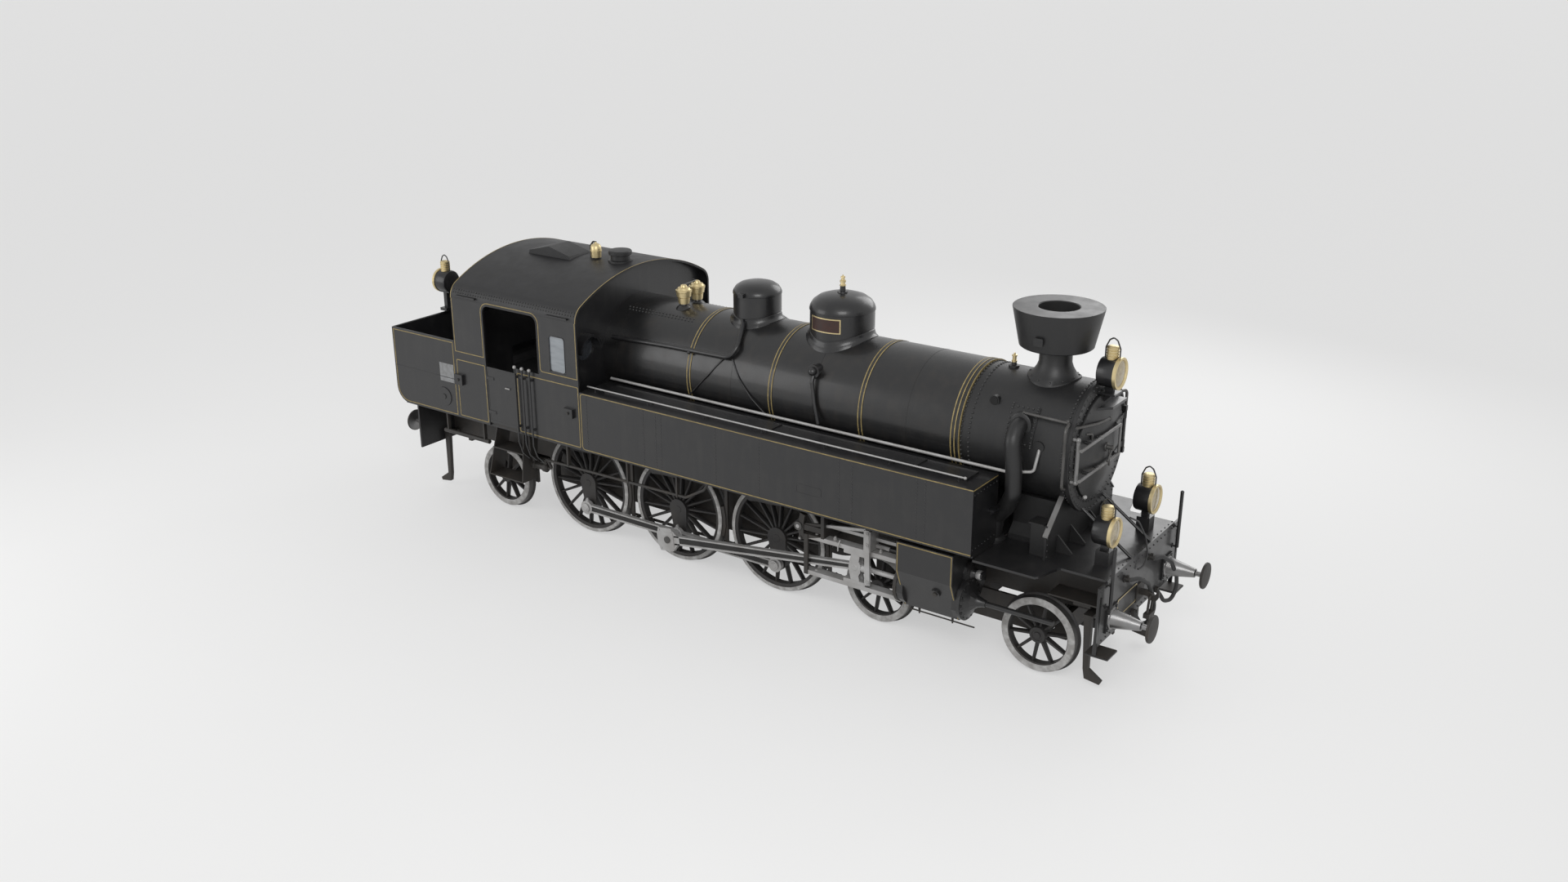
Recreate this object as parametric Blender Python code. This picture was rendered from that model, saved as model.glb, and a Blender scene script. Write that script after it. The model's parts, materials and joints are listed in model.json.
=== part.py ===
# A side-tank steam locomotive with six coupled wheels, a leading bogie and a trailing truck.
# Metres, +X towards the chimney, +Y to the left-hand side, +Z up.
# The origin is on the floor under the middle of the length over buffers, and the flanges stand on the floor.

import bmesh
import bpy
from math import asin, atan2, cos, degrees, pi, radians, sin, sqrt
from mathutils import Matrix, Vector

for old in list(bpy.data.objects):
    bpy.data.objects.remove(old, do_unlink=True)

# Clearances
SEAT = 0.0003
PIN_GAP = 0.0005
GUIDE_GAP = 0.0005
WHEEL_CLEARANCE = 0.012
SWING_CLEARANCE = 0.010

# Length and height over all
BUFFER_FACE_X = 6.35
BUFFER_REACH = 0.542
BEAM_THICKNESS = 0.030
BODY_HALF_WIDTH = 1.50

# Wheels and axles
GAUGE = 1.435
FLANGE_HEIGHT = 0.030
FLANGE_WIDTH = 0.032
BACK_CLEARANCE = 0.0375
WHEEL_WIDTH = 0.135
TYRE_DEPTH = 0.062
RIM_DEPTH = 0.045
COUPLED_RADIUS = 0.787
CARRYING_RADIUS = 0.500
COUPLED_AXLE_RADIUS = 0.090
CARRYING_AXLE_RADIUS = 0.072
COUPLED_HUB_RADIUS = 0.150
CARRYING_HUB_RADIUS = 0.115
TYRE_CHAMFER = 0.002
TYRE_SIDES = 24
BORE_SIDES = 12
COUPLED_SPOKES = 18
CARRYING_SPOKES = 10
SPOKE_HALF_WIDTH = 0.023
BALANCE_HALF_ANGLE = 40.0
DRIVING_X = -0.838
COUPLED_SPACING = 1.750
BOGIE_CENTRE_X = 3.710
BOGIE_WHEELBASE = 2.317
TRAILING_X = -4.360
TRUCK_PIVOT_X = -3.300

# Cranks, rods and cylinders
CRANK_RADIUS = 0.360
RIGHT_CRANK_ANGLE = -84.0
CRANK_PIN_RADIUS = 0.050
CRANK_BOSS_RADIUS = 0.105
COUPLING_ROD_INNER = 0.862
COUPLING_ROD_THICKNESS = 0.070
COUPLING_ROD_DEPTH = 0.100
ROD_EYE_RADIUS = 0.095
ROD_END_GAP = 0.010
CONNECTING_ROD_THICKNESS = 0.070
CONNECTING_ROD_LENGTH = 3.224
CONNECTING_ROD_HALF_DEPTH = 0.062
BIG_END_HALF = 0.115
SMALL_END_RADIUS = 0.065
CYLINDER_Y = 1.090
CYLINDER_Z = 0.900
CYLINDER_REAR_X = 3.188
CYLINDER_LENGTH = 0.800
CYLINDER_COVER_RADIUS = 0.270
CYLINDER_COVER_DEPTH = 0.090
VALVE_Y = 1.020
VALVE_Z = 1.230
VALVE_RADIUS = 0.150
PISTON_ROD_RADIUS = 0.035
PISTON_ROD_ENTRY = 0.050
TAIL_ROD_LENGTH = 0.900
SLIDE_BAR_REAR_X = 1.600
SLIDE_BAR_OFFSET = 0.230
SLIDE_BAR_HEIGHT = 0.060
SLIDE_BAR_WIDTH = 0.130
CROSSHEAD_LENGTH = 0.340
MOTION_BRACKET_X = 1.860
VALVE_GUIDE_Z = 1.330
VALVE_BAR_HALF = 0.022
VALVE_SPINDLE = 0.340
VALVE_SPINDLE_RADIUS = 0.030
CHEST_COVER = 0.030
LINK_X = 1.530
LEVER_X = 2.600
LEVER_TOP = 1.500
LEVER_BOTTOM = 0.730
LEVER_CLEARANCE = 0.020

# Brake gear
BRAKE_GAP = 0.006
BRAKE_BLOCK_DEPTH = 0.055
BRAKE_HANGER_DEPTH = 0.050
BRAKE_ROD_Y = 0.620
BRAKE_ROD_Z = 0.420
BRAKE_ROD_OVERHANG = 0.150
BRAKE_PIN_Z = 1.420

# Frames
FRAME_INNER = 0.500
FRAME_THICKNESS = 0.040
FRAME_BOTTOM = 0.580
FRAME_RAISED_BOTTOM = 0.920
PLATFORM_THICKNESS = 0.030
PLATFORM_FRONT_X = 4.248
FRONT_DECK_TOP = 1.630
DECK_THICKNESS = 0.030
DECK_INSET = 0.050
DECK_NOSE_HALF_WIDTH = 1.050
BEAM_BOTTOM = 0.830
BEAM_HALF_WIDTH = 1.250
BUFFER_Y = 0.874
BUFFER_Z = 1.081
CORNER_RAIL_TOP = 2.050
CORNER_RAIL_RADIUS = 0.015
FRONT_STEP_Z = 0.690
GUARD_IRON_Y = 0.750
GUARD_IRON_BOTTOM = 0.085
TRUCK_PLATE_INNER = 0.430
TRUCK_PLATE_THICKNESS = 0.040
TRUCK_PLATE_TOP = 0.780
TRUCK_PLATE_BOTTOM = 0.380
TRUCK_CASTING_BOTTOM = 0.660
TRUCK_CASTING_OVERLAP = 0.020
BOGIE_PIN_RADIUS = 0.080
TRUCK_PIN_RADIUS = 0.050

# Boiler, smokebox and chimney
BOILER_Z = 2.850
BOILER_RADIUS = 0.800
BOILER_BACK_X = -2.750
SMOKEBOX_BACK_X = 3.620
SMOKEBOX_FRONT_X = 5.121
SMOKEBOX_RADIUS = 0.780
SMOKEBOX_WALL = 0.020
SMOKEBOX_FLANGE_RADIUS = 0.840
SMOKEBOX_FLANGE_DEPTH = 0.050
DOOR_OPENING_RADIUS = 0.600
SMOKEBOX_DOOR_RADIUS = 0.670
SMOKEBOX_DOOR_THICKNESS = 0.030
SMOKEBOX_DOOR_DISH = 0.090
DOOR_HINGE_HALF = 0.240
DOOR_STRAP_Z = 0.190
DOOR_STRAP_HALF = 0.034
FIREBOX_FRONT_X = -1.450
FIREBOX_HALF_WIDTH = 0.620
FIREBOX_GAP_HALF = 0.480
FIREBOX_LEG_HALF = 0.460
SADDLE_BACK_X = 4.300
SADDLE_FRONT_X = 4.975
SADDLE_PLATE = 0.030
CLACK_X = 1.457
FEED_PIPE_RADIUS = 0.030
SAFETY_VALVE_X = -1.300
STEAM_PIPE_X = 4.500
STEAM_PIPE_RADIUS = 0.115
STEAM_PIPE_Y = 0.970
CHIMNEY_X = 4.498
CHIMNEY_BORE = 0.160
CHIMNEY_STEM_RADIUS = 0.200
CHIMNEY_CONE_BOTTOM = 4.010
CHIMNEY_TOP = 4.490
CHIMNEY_CONE_RADIUS = 0.460
CHIMNEY_RIM_RADIUS = 0.555

# Tanks, cab and bunker
TANK_INNER = 0.860
TANK_TOP = 2.550
TANK_LID_HEIGHT = 0.030
TANK_LID_INNER = 1.000
TANK_LID_OUTER = 1.300
TANK_GAP = 0.004
CAB_FRONT_X = -2.032
CAB_BACK_X = -4.542
CAB_WALL = 0.030
CAB_EAVES = 3.550
CAB_RECESS = 0.150
ROOF_SHOULDER = 0.250
CAB_APEX = 4.130
CAB_ROOF_THICKNESS = 0.030
CAB_WAIST = 2.600
FRONT_PORT_Z = 3.090
FRONT_PORT_RADIUS = 0.185
PORT_WALL = 0.028
PORT_HOOD = 0.130
REAR_PORT_Z = 3.360
REAR_PORT_RADIUS = 0.170
SHOVEL_HALF = 0.350
SHOVEL_BOTTOM = 0.250
SHOVEL_TOP = 0.850
CAB_FLOOR_THICKNESS = 0.035
BUNKER_BACK_X = -5.932
BUNKER_TOP = 2.877
BUNKER_CORNER = 0.250
BUNKER_WALL = 0.025
DOOR_BACK_X = -3.885
DOOR_FRONT_X = -3.280
DOOR_GAP = 0.006
OPENING_BACK_X = -3.892
OPENING_FRONT_X = -2.792
OPENING_TOP = 3.540
WINDOW_BACK_X = -2.572
WINDOW_FRONT_X = -2.262
WINDOW_BOTTOM = 2.765
WINDOW_TOP = 3.305
STEP_WIDTH = 0.300
HATCH_X = -3.525
HATCH_HALF_WIDTH = 0.420
VENT_X = -2.400
VENT_Y = -0.100
WHISTLE_X = -2.850
WHISTLE_Y = -0.140

# Lamps
HEADLAMP_X = 5.700
HEADLAMP_Y = 0.626
HEADLAMP_Z = 2.051
HEADLAMP_RADIUS = 0.190
TOP_LAMP_X = 5.352
TOP_LAMP_Z = 3.792
TOP_LAMP_RADIUS = 0.1975
TAIL_LAMP_Y = -0.460
TAIL_LAMP_Z = 3.404

# Places that follow from the sizes above
buffer_beam_x = BUFFER_FACE_X - BUFFER_REACH
coupled_axle_z = COUPLED_RADIUS + FLANGE_HEIGHT
carrying_axle_z = CARRYING_RADIUS + FLANGE_HEIGHT
platform_bottom = coupled_axle_z + COUPLED_RADIUS + FLANGE_HEIGHT + WHEEL_CLEARANCE
platform_top = platform_bottom + PLATFORM_THICKNESS
body_bottom = platform_top + SEAT
frame_outer = FRAME_INNER + FRAME_THICKNESS
frame_end_x = buffer_beam_x - BEAM_THICKNESS - SEAT
wheel_back = GAUGE / 2 - BACK_CLEARANCE
wheel_face = wheel_back + WHEEL_WIDTH
coupling_rod_outer = COUPLING_ROD_INNER + COUPLING_ROD_THICKNESS
crank_pin_end = CYLINDER_Y - CONNECTING_ROD_THICKNESS / 2 - ROD_END_GAP
cylinder_front_x = CYLINDER_REAR_X + CYLINDER_LENGTH
rod_reach = sqrt(CONNECTING_ROD_LENGTH ** 2 - (CYLINDER_Z - coupled_axle_z) ** 2)
gudgeon_rear_x = DRIVING_X - CRANK_RADIUS + rod_reach
gudgeon_front_x = DRIVING_X + CRANK_RADIUS + rod_reach
piston_rod_length = CYLINDER_REAR_X + PISTON_ROD_ENTRY - gudgeon_rear_x
door_hinge_y = SMOKEBOX_DOOR_RADIUS + 0.045
deck_half_width = BODY_HALF_WIDTH - DECK_INSET
tank_back_x = CAB_FRONT_X + TANK_GAP
cab_wall_x = CAB_FRONT_X - CAB_RECESS
front_port_y = (BOILER_RADIUS + BODY_HALF_WIDTH) / 2 + 0.020
rear_port_y = BODY_HALF_WIDTH - 0.650
SIDES = (("right", -1), ("left", 1))


# Materials

def paint(name, colour, roughness, metallic=0.0):
    material = bpy.data.materials.new(name)
    material.use_nodes = True
    shader = material.node_tree.nodes["Principled BSDF"]
    shader.inputs["Base Color"].default_value = (*colour, 1)
    shader.inputs["Roughness"].default_value = roughness
    shader.inputs["Metallic"].default_value = metallic
    return material


BLACK = paint("black_paint", (0.018, 0.018, 0.020), 0.38)
SOOT = paint("smokebox_black", (0.022, 0.021, 0.020), 0.62)
STEEL = paint("bright_steel", (0.55, 0.56, 0.58), 0.28, 1.0)
WHEEL = paint("wheel_black", (0.016, 0.016, 0.018), 0.42)
BRASS = paint("brass", (0.78, 0.58, 0.24), 0.30, 1.0)
IRON = paint("dark_iron", (0.030, 0.029, 0.028), 0.55)


# Shape tools

def solid(mesh_builder):
    """An object made from a bmesh, with its faces pointing out."""
    bmesh.ops.recalc_face_normals(mesh_builder, faces=mesh_builder.faces)
    mesh = bpy.data.meshes.new("shape")
    mesh_builder.to_mesh(mesh)
    mesh_builder.free()
    shape = bpy.data.objects.new("shape", mesh)
    bpy.context.scene.collection.objects.link(shape)
    return shape


def lofted(rings):
    """A closed skin over rings of points that all have the same count."""
    builder = bmesh.new()
    loops = [[builder.verts.new(point) for point in ring] for ring in rings]
    count = len(rings[0])
    for low, high in zip(loops, loops[1:]):
        for i in range(count):
            j = (i + 1) % count
            builder.faces.new((low[i], low[j], high[j], high[i]))
    builder.faces.new(loops[0][::-1])
    builder.faces.new(loops[-1])
    return solid(builder)


def along(axis, outline, at):
    """Outline points placed on the plane that crosses the axis at one value."""
    if axis == "x":
        return [(at, a, b) for a, b in outline]
    if axis == "y":
        return [(a, at, b) for a, b in outline]
    return [(a, b, at) for a, b in outline]


def prism(axis, outline, low, high):
    return lofted([along(axis, outline, low), along(axis, outline, high)])


def box(x0, x1, y0, y1, z0, z1):
    return prism("z", [(x0, y0), (x1, y0), (x1, y1), (x0, y1)], z0, z1)


def arc(cx, cz, radius, start, end, steps):
    """Points on an arc, in degrees, both ends included."""
    return [
        (cx + radius * cos(radians(start + (end - start) * i / steps)),
         cz + radius * sin(radians(start + (end - start) * i / steps)))
        for i in range(steps + 1)
    ]


def circle(radius, sides, phase=0.0):
    """A ring of points whose first flat side is centred on the phase, in degrees."""
    turns = [2 * pi * (i + 0.5) / sides + radians(phase) for i in range(sides)]
    return [(radius * cos(turn), radius * sin(turn)) for turn in turns]


def turned(axis, centre, profile, sides, phase=0.0):
    """A solid of revolution: the profile lists distances along the axis, each with its radius."""
    rings = []
    for distance, radius in profile:
        ring = []
        for a, b in circle(max(radius, 0.0005), sides, phase):
            offset = {"x": (distance, a, b), "y": (a, distance, b), "z": (a, b, distance)}[axis]
            ring.append(tuple(c + o for c, o in zip(centre, offset)))
        rings.append(ring)
    return lofted(rings)


def cylinder(axis, centre, low, high, radius, sides=16, phase=0.0):
    return turned(axis, centre, [(low, radius), (high, radius)], sides, phase)


def journal(centre, low, high, radius):
    """A pin or axle along Y whose corners face the flats of its bore at rest."""
    return cylinder("y", centre, low, high, radius, BORE_SIDES, 180.0 / BORE_SIDES)


def bore(axis, centre, low, high, radius):
    """A cutter whose flats stay clear of a pin of this radius, however it turns."""
    return cylinder(axis, centre, low, high, (radius + PIN_GAP) / cos(pi / BORE_SIDES), BORE_SIDES)


def pipe(points, radius, sides=8):
    """A round bar along straight runs, mitred at each bend."""
    points = [Vector(p) for p in points]
    rings = []
    side = None
    for i, point in enumerate(points):
        before = (point - points[i - 1]).normalized() if i else None
        after = (points[i + 1] - point).normalized() if i < len(points) - 1 else None
        mitred = before is not None and after is not None
        run = (before + after).normalized() if mitred else before or after
        if side is None:
            side = run.orthogonal().normalized()
        first = after or before
        side = (side - first * side.dot(first)).normalized()
        up = first.cross(side)
        ring = []
        for a, b in circle(radius, sides):
            offset = side * a + up * b
            if mitred:
                offset -= first * offset.dot(run) / max(0.3, run.dot(first))
            ring.append(tuple(point + offset))
        rings.append(ring)
    return lofted(rings)


def combined(shapes, operation):
    """The first shape joined with, or cut by, all the others."""
    base = shapes[0]
    group = bpy.data.collections.new("operands")
    bpy.context.scene.collection.children.link(group)
    for shape in shapes[1:]:
        group.objects.link(shape)
    step = base.modifiers.new("step", "BOOLEAN")
    step.operation = operation
    step.operand_type = "COLLECTION"
    step.collection = group
    step.solver = "EXACT"
    graph = bpy.context.evaluated_depsgraph_get()
    mesh = bpy.data.meshes.new_from_object(base.evaluated_get(graph))
    base.modifiers.clear()
    base.data = mesh
    for shape in shapes[1:]:
        bpy.data.objects.remove(shape, do_unlink=True)
    bpy.data.collections.remove(group)
    return base


def joined(shapes, cuts=()):
    """One body: the shapes joined, then the cuts taken away."""
    result = combined(shapes, "UNION") if len(shapes) > 1 else shapes[0]
    return combined([result, *cuts], "DIFFERENCE") if cuts else result


def part(name, material, shapes, cuts=(), origin=(0, 0, 0), parent=None):
    """A finished sub-part, modelled about its origin, named, shaded and placed."""
    result = joined(list(shapes), list(cuts))
    tidy = bmesh.new()
    tidy.from_mesh(result.data)
    bmesh.ops.remove_doubles(tidy, verts=tidy.verts, dist=0.00001)
    bmesh.ops.dissolve_degenerate(tidy, edges=tidy.edges, dist=0.00001)
    tidy.to_mesh(result.data)
    tidy.free()
    result.name = name
    result.data.name = name
    result.data.materials.clear()
    result.data.materials.append(material)
    result.data.shade_smooth()
    result.data.set_sharp_from_angle(angle=radians(35))
    result.location = origin
    if parent:
        result.parent = parent
        result.location = Vector(origin) - world_place(parent)
    return result


def world_place(pivot):
    place = Vector(pivot.location)
    while pivot.parent:
        pivot = pivot.parent
        place += Vector(pivot.location)
    return place


def pivot(name, place, parent=None):
    """An empty on a joint's axis, which its moving pieces hang from."""
    empty = bpy.data.objects.new(name, None)
    bpy.context.scene.collection.objects.link(empty)
    empty.location = Vector(place) - (world_place(parent) if parent else Vector())
    empty.parent = parent
    return empty


def mirrored(side, low, high):
    """A span of Y on one side of the locomotive, in rising order."""
    return (low, high) if side > 0 else (-high, -low)


# Wheelsets

def wheel(side, radius, hub_radius, spokes, crank_angle=None):
    """One spoked wheel about the axle's centre, with its crank boss and pin on a coupled wheel."""
    back, face = side * wheel_back, side * wheel_face
    flange = side * (wheel_back + FLANGE_WIDTH)
    rim_inside = radius - TYRE_DEPTH - RIM_DEPTH
    phase = 0.0 if crank_angle is None else crank_angle + 180.0 / spokes
    tyre = turned("y", (0, 0, 0), [
        (back, radius + FLANGE_HEIGHT * 0.5), (back + side * FLANGE_WIDTH * 0.4, radius + FLANGE_HEIGHT),
        (flange, radius), (face, radius - TYRE_CHAMFER)], TYRE_SIDES, 180.0 / TYRE_SIDES)
    bore = cylinder("y", (0, 0, 0), back - side * 0.05, face + side * 0.05, rim_inside, spokes, phase)
    rim = joined([tyre], [bore])
    hub_back, hub_face = back + side * 0.004, face + side * 0.012
    shapes = [rim, cylinder("y", (0, 0, 0), hub_back, hub_face, hub_radius, spokes, phase)]
    inner, outer = back + side * 0.035, face - side * 0.030
    for i in range(spokes):
        angle = radians(phase + 360.0 * i / spokes)
        shapes.append(spoke(angle, hub_radius * 0.95, rim_inside + 0.02, inner, outer))
    if crank_angle is not None:
        angle = radians(crank_angle)
        centre = (CRANK_RADIUS * cos(angle), 0, CRANK_RADIUS * sin(angle))
        shapes.append(crank_web(angle, hub_back + side * 0.02, hub_face))
        shapes.append(journal(centre, hub_face - side * 0.02, side * crank_pin_end, CRANK_PIN_RADIUS))
        shapes.append(balance_weight(angle + pi, rim_inside, inner, outer))
    return shapes


def spoke(angle, low, high, inner, outer):
    """A tapered spoke from the hub to the rim."""
    rings = []
    for distance, half_width, half_depth in (
            (low, SPOKE_HALF_WIDTH, 0.50), (high, SPOKE_HALF_WIDTH * 0.8, 0.36)):
        middle, half = (inner + outer) / 2, (outer - inner) * half_depth
        across = ((-half_width, -half), (half_width, -half), (half_width, half), (-half_width, half))
        rings.append([
            (distance * cos(angle) - a * sin(angle), middle + b, distance * sin(angle) + a * cos(angle))
            for a, b in across])
    return lofted(rings)


def crank_web(angle, inner, outer):
    """The boss of the crank pin and the web that joins it to the hub."""
    spread = asin((COUPLED_HUB_RADIUS - CRANK_BOSS_RADIUS) / CRANK_RADIUS)
    outline = arc(0, 0, COUPLED_HUB_RADIUS * 0.90, 90 - degrees(spread), 270 + degrees(spread), 8)
    outline += arc(CRANK_RADIUS, 0, CRANK_BOSS_RADIUS, -90 + degrees(spread), 90 - degrees(spread), 8)
    turned_outline = [(a * cos(angle) - b * sin(angle), a * sin(angle) + b * cos(angle)) for a, b in outline]
    return prism("y", turned_outline, inner, outer)


def balance_weight(angle, rim_inside, inner, outer):
    """The crescent opposite the crank that balances the rods."""
    half = BALANCE_HALF_ANGLE
    middle = degrees(angle)
    outline = arc(0, 0, rim_inside + 0.02, middle - half, middle + half, 8)
    outline += arc(0, 0, rim_inside * 0.74, middle + half * 0.8, middle - half * 0.8, 6)
    return prism("y", outline, inner, outer)


def wheelset(name, x, z, radius, hub_radius, axle_radius, spokes, parent, crank_angles=None):
    """An axle with its two wheels, which turn together."""
    shapes = [journal((0, 0, 0), -wheel_face - 0.02, wheel_face + 0.02, axle_radius)]
    for side_name, side in SIDES:
        crank = crank_angles[side_name] if crank_angles else None
        shapes += wheel(side, radius, hub_radius, spokes, crank)
    axle = pivot(name + "_axle", (x, 0, z), parent)
    return part(name, WHEEL, shapes, origin=(x, 0, z), parent=axle)


crank_angles = {"right": RIGHT_CRANK_ANGLE, "left": RIGHT_CRANK_ANGLE + 90.0}
COUPLED_WHEELSETS = (
    ("front_coupled_wheelset", DRIVING_X + COUPLED_SPACING),
    ("driving_wheelset", DRIVING_X),
    ("rear_coupled_wheelset", DRIVING_X - COUPLED_SPACING),
)


def coupled_wheelsets():
    for name, x in COUPLED_WHEELSETS:
        wheelset(name, x, coupled_axle_z, COUPLED_RADIUS, COUPLED_HUB_RADIUS, COUPLED_AXLE_RADIUS,
                 COUPLED_SPOKES, None, crank_angles)


# Bogie and trailing truck

def truck_plate(side, front_x, back_x):
    y0, y1 = mirrored(side, TRUCK_PLATE_INNER, TRUCK_PLATE_INNER + TRUCK_PLATE_THICKNESS)
    return box(back_x, front_x, y0, y1, TRUCK_PLATE_BOTTOM, TRUCK_PLATE_TOP)


def axle_bore(x, z, radius):
    return bore("y", (x, 0, z), -frame_outer - 0.05, frame_outer + 0.05, radius)


def bogie():
    """Two side plates, a centre casting that seats under the main frame, and end stretchers."""
    x = BOGIE_CENTRE_X
    front, back = x + BOGIE_WHEELBASE / 2, x - BOGIE_WHEELBASE / 2
    swing = pivot("bogie_swing", (x, 0, carrying_axle_z))
    top = FRAME_RAISED_BOTTOM - SEAT
    half = TRUCK_PLATE_INNER + TRUCK_CASTING_OVERLAP
    shapes = [box(x - 0.30, x + 0.30, -half, half, TRUCK_CASTING_BOTTOM, top)]
    for _, side in SIDES:
        shapes.append(truck_plate(side, front + 0.24, back - 0.24))
    for end in (front + 0.20, back - 0.20):
        shapes.append(box(end - 0.03, end + 0.03, -half, half, 0.42, 0.70))
    cuts = [axle_bore(end, carrying_axle_z, CARRYING_AXLE_RADIUS) for end in (front, back)]
    cuts.append(bore("z", (x, 0, 0), 0.5, 1.0, BOGIE_PIN_RADIUS))
    for shape in shapes + cuts:
        shape.data.transform(Matrix.Translation((-x, 0, -carrying_axle_z)))
    part("bogie_frame", IRON, shapes, cuts, (x, 0, carrying_axle_z), swing)
    for name, axle_x in (("leading_wheelset", front), ("second_wheelset", back)):
        wheelset(name, axle_x, carrying_axle_z, CARRYING_RADIUS, CARRYING_HUB_RADIUS, CARRYING_AXLE_RADIUS,
                 CARRYING_SPOKES, swing)


def trailing_truck():
    """A two-wheeled truck that swings on a pin ahead of its axle."""
    x, top = TRAILING_X, FRAME_RAISED_BOTTOM - SEAT
    swing = pivot("truck_swing", (TRUCK_PIVOT_X, 0, carrying_axle_z))
    half = TRUCK_PLATE_INNER + TRUCK_CASTING_OVERLAP
    shapes = [box(x - 0.16, x + 0.16, -half, half, TRUCK_CASTING_BOTTOM, top)]
    for _, side in SIDES:
        shapes.append(truck_plate(side, x + 0.36, x - 0.36))
    tongue = [(x + 0.10, -0.40), (TRUCK_PIVOT_X, -0.16), (TRUCK_PIVOT_X + 0.16, -0.10),
              (TRUCK_PIVOT_X + 0.16, 0.10), (TRUCK_PIVOT_X, 0.16), (x + 0.10, 0.40)]
    shapes.append(prism("z", tongue, 0.68, 0.76))
    cuts = [axle_bore(x, carrying_axle_z, CARRYING_AXLE_RADIUS)]
    cuts.append(bore("z", (TRUCK_PIVOT_X, 0, 0), 0.5, 1.0, TRUCK_PIN_RADIUS))
    for shape in shapes + cuts:
        shape.data.transform(Matrix.Translation((-TRUCK_PIVOT_X, 0, -carrying_axle_z)))
    part("trailing_truck", IRON, shapes, cuts, (TRUCK_PIVOT_X, 0, carrying_axle_z), swing)
    wheelset("trailing_wheelset", x, carrying_axle_z, CARRYING_RADIUS, CARRYING_HUB_RADIUS,
             CARRYING_AXLE_RADIUS, CARRYING_SPOKES, swing)


# Frames, beams, platform and deck

GUARD_IRONS = (
    # end, x of the iron's inner edge
    (1, 5.475),
    (-1, -5.690),
)

STRETCHERS = (
    # middle x, half length, bottom z, top z
    (5.30, 0.15, 1.00, 1.56),
    (BOGIE_CENTRE_X, 0.40, FRAME_RAISED_BOTTOM, 1.20),
    (1.75, 0.10, 0.75, 1.50),
    (0.04, 0.08, 0.70, 1.30),
    (-1.71, 0.08, 0.65, 0.95),
    (TRUCK_PIVOT_X, 0.14, 0.78, 1.10),
    (TRAILING_X, 0.22, FRAME_RAISED_BOTTOM, 1.15),
    (-5.40, 0.12, 1.00, 1.55),
)


def guard_iron(side, x, end):
    """A bent iron that hangs from the frame ahead of a wheel and clears the rail."""
    y0, y1 = mirrored(side, GUARD_IRON_Y - 0.030, GUARD_IRON_Y + 0.030)
    outline = ((-0.035, 0.960), (0.065, 0.960), (0.070, 0.250), (0.245, 0.130),
               (0.225, GUARD_IRON_BOTTOM), (0.025, 0.115), (0.0, 0.250))
    blade = [(x + end * reach, z) for reach, z in outline]
    foot0, foot1 = mirrored(side, frame_outer - 0.01, GUARD_IRON_Y + 0.030)
    bracket = box(*sorted((x - end * 0.045, x + end * 0.075)), foot0, foot1,
                  FRAME_RAISED_BOTTOM + 0.010, FRAME_RAISED_BOTTOM + 0.050)
    return [prism("y", blade, y0, y1), bracket]


def main_frame():
    """Two plates on edge, bored for the coupled axles, with the stretchers that join them."""
    top, deck_bottom = platform_bottom - SEAT, FRONT_DECK_TOP - DECK_THICKNESS - SEAT
    outline = [
        (-frame_end_x, FRAME_RAISED_BOTTOM), (-3.65, FRAME_RAISED_BOTTOM), (-3.40, FRAME_BOTTOM),
        (1.50, FRAME_BOTTOM), (1.75, FRAME_RAISED_BOTTOM), (frame_end_x, FRAME_RAISED_BOTTOM),
        (frame_end_x, deck_bottom), (PLATFORM_FRONT_X, deck_bottom), (PLATFORM_FRONT_X, top),
        (-frame_end_x, top),
    ]
    shapes = [prism("y", outline, *mirrored(side, FRAME_INNER, frame_outer)) for _, side in SIDES]
    for x, half, low, high in STRETCHERS:
        shapes.append(box(x - half, x + half, -FRAME_INNER - 0.01, FRAME_INNER + 0.01, low, high))
    for _, side in SIDES:
        for end, x in GUARD_IRONS:
            shapes += guard_iron(side, x, end)
    for x, radius in ((BOGIE_CENTRE_X, BOGIE_PIN_RADIUS), (TRUCK_PIVOT_X, TRUCK_PIN_RADIUS)):
        shapes.append(cylinder("z", (x, 0, 0), 0.70, FRAME_RAISED_BOTTOM + 0.05, radius, BORE_SIDES))
    cuts = [axle_bore(x, coupled_axle_z, COUPLED_AXLE_RADIUS) for _, x in COUPLED_WHEELSETS]
    part("main_frame", IRON, shapes, cuts)


def corner_fittings(side):
    """The front corner's upright handrail and the footstep that hangs under it."""
    x, rail_y = buffer_beam_x, side * DECK_NOSE_HALF_WIDTH
    low = [(x - 0.01, rail_y, 1.300), (x + 0.060, rail_y, 1.300), (x + 0.060, rail_y, CORNER_RAIL_TOP)]
    shapes = [pipe(low, CORNER_RAIL_RADIUS, 6)]
    shapes.append(pipe([(x - 0.01, rail_y, 1.575), (x + 0.058, rail_y, 1.575)], CORNER_RAIL_RADIUS * 0.9, 6))
    hanger = [(x - 0.035, 1.470), (x + 0.015, 1.470), (x + 0.015, 1.350), (x - 0.010, FRONT_STEP_Z),
              (x - 0.060, FRONT_STEP_Z)]
    shapes.append(prism("y", hanger, *mirrored(side, 1.185, 1.210)))
    tread_low, tread_high = mirrored(side, 0.930, 1.215)
    shapes.append(box(x - 0.155, x + 0.145, tread_low, tread_high, FRONT_STEP_Z, FRONT_STEP_Z + 0.018))
    return shapes


def buffer_beam(name, end):
    """A cross plate that carries the buffers and the drawhook."""
    inner, outer = end * (buffer_beam_x - BEAM_THICKNESS), end * buffer_beam_x
    top = (FRONT_DECK_TOP - DECK_THICKNESS if end > 0 else platform_bottom) - SEAT
    low, high = min(inner, outer), max(inner, outer)
    shapes = [box(low, high, -BEAM_HALF_WIDTH, BEAM_HALF_WIDTH, BEAM_BOTTOM, top)]
    if end > 0:
        for _, side in SIDES:
            shapes += corner_fittings(side)
    part(name, BLACK, shapes)


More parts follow.
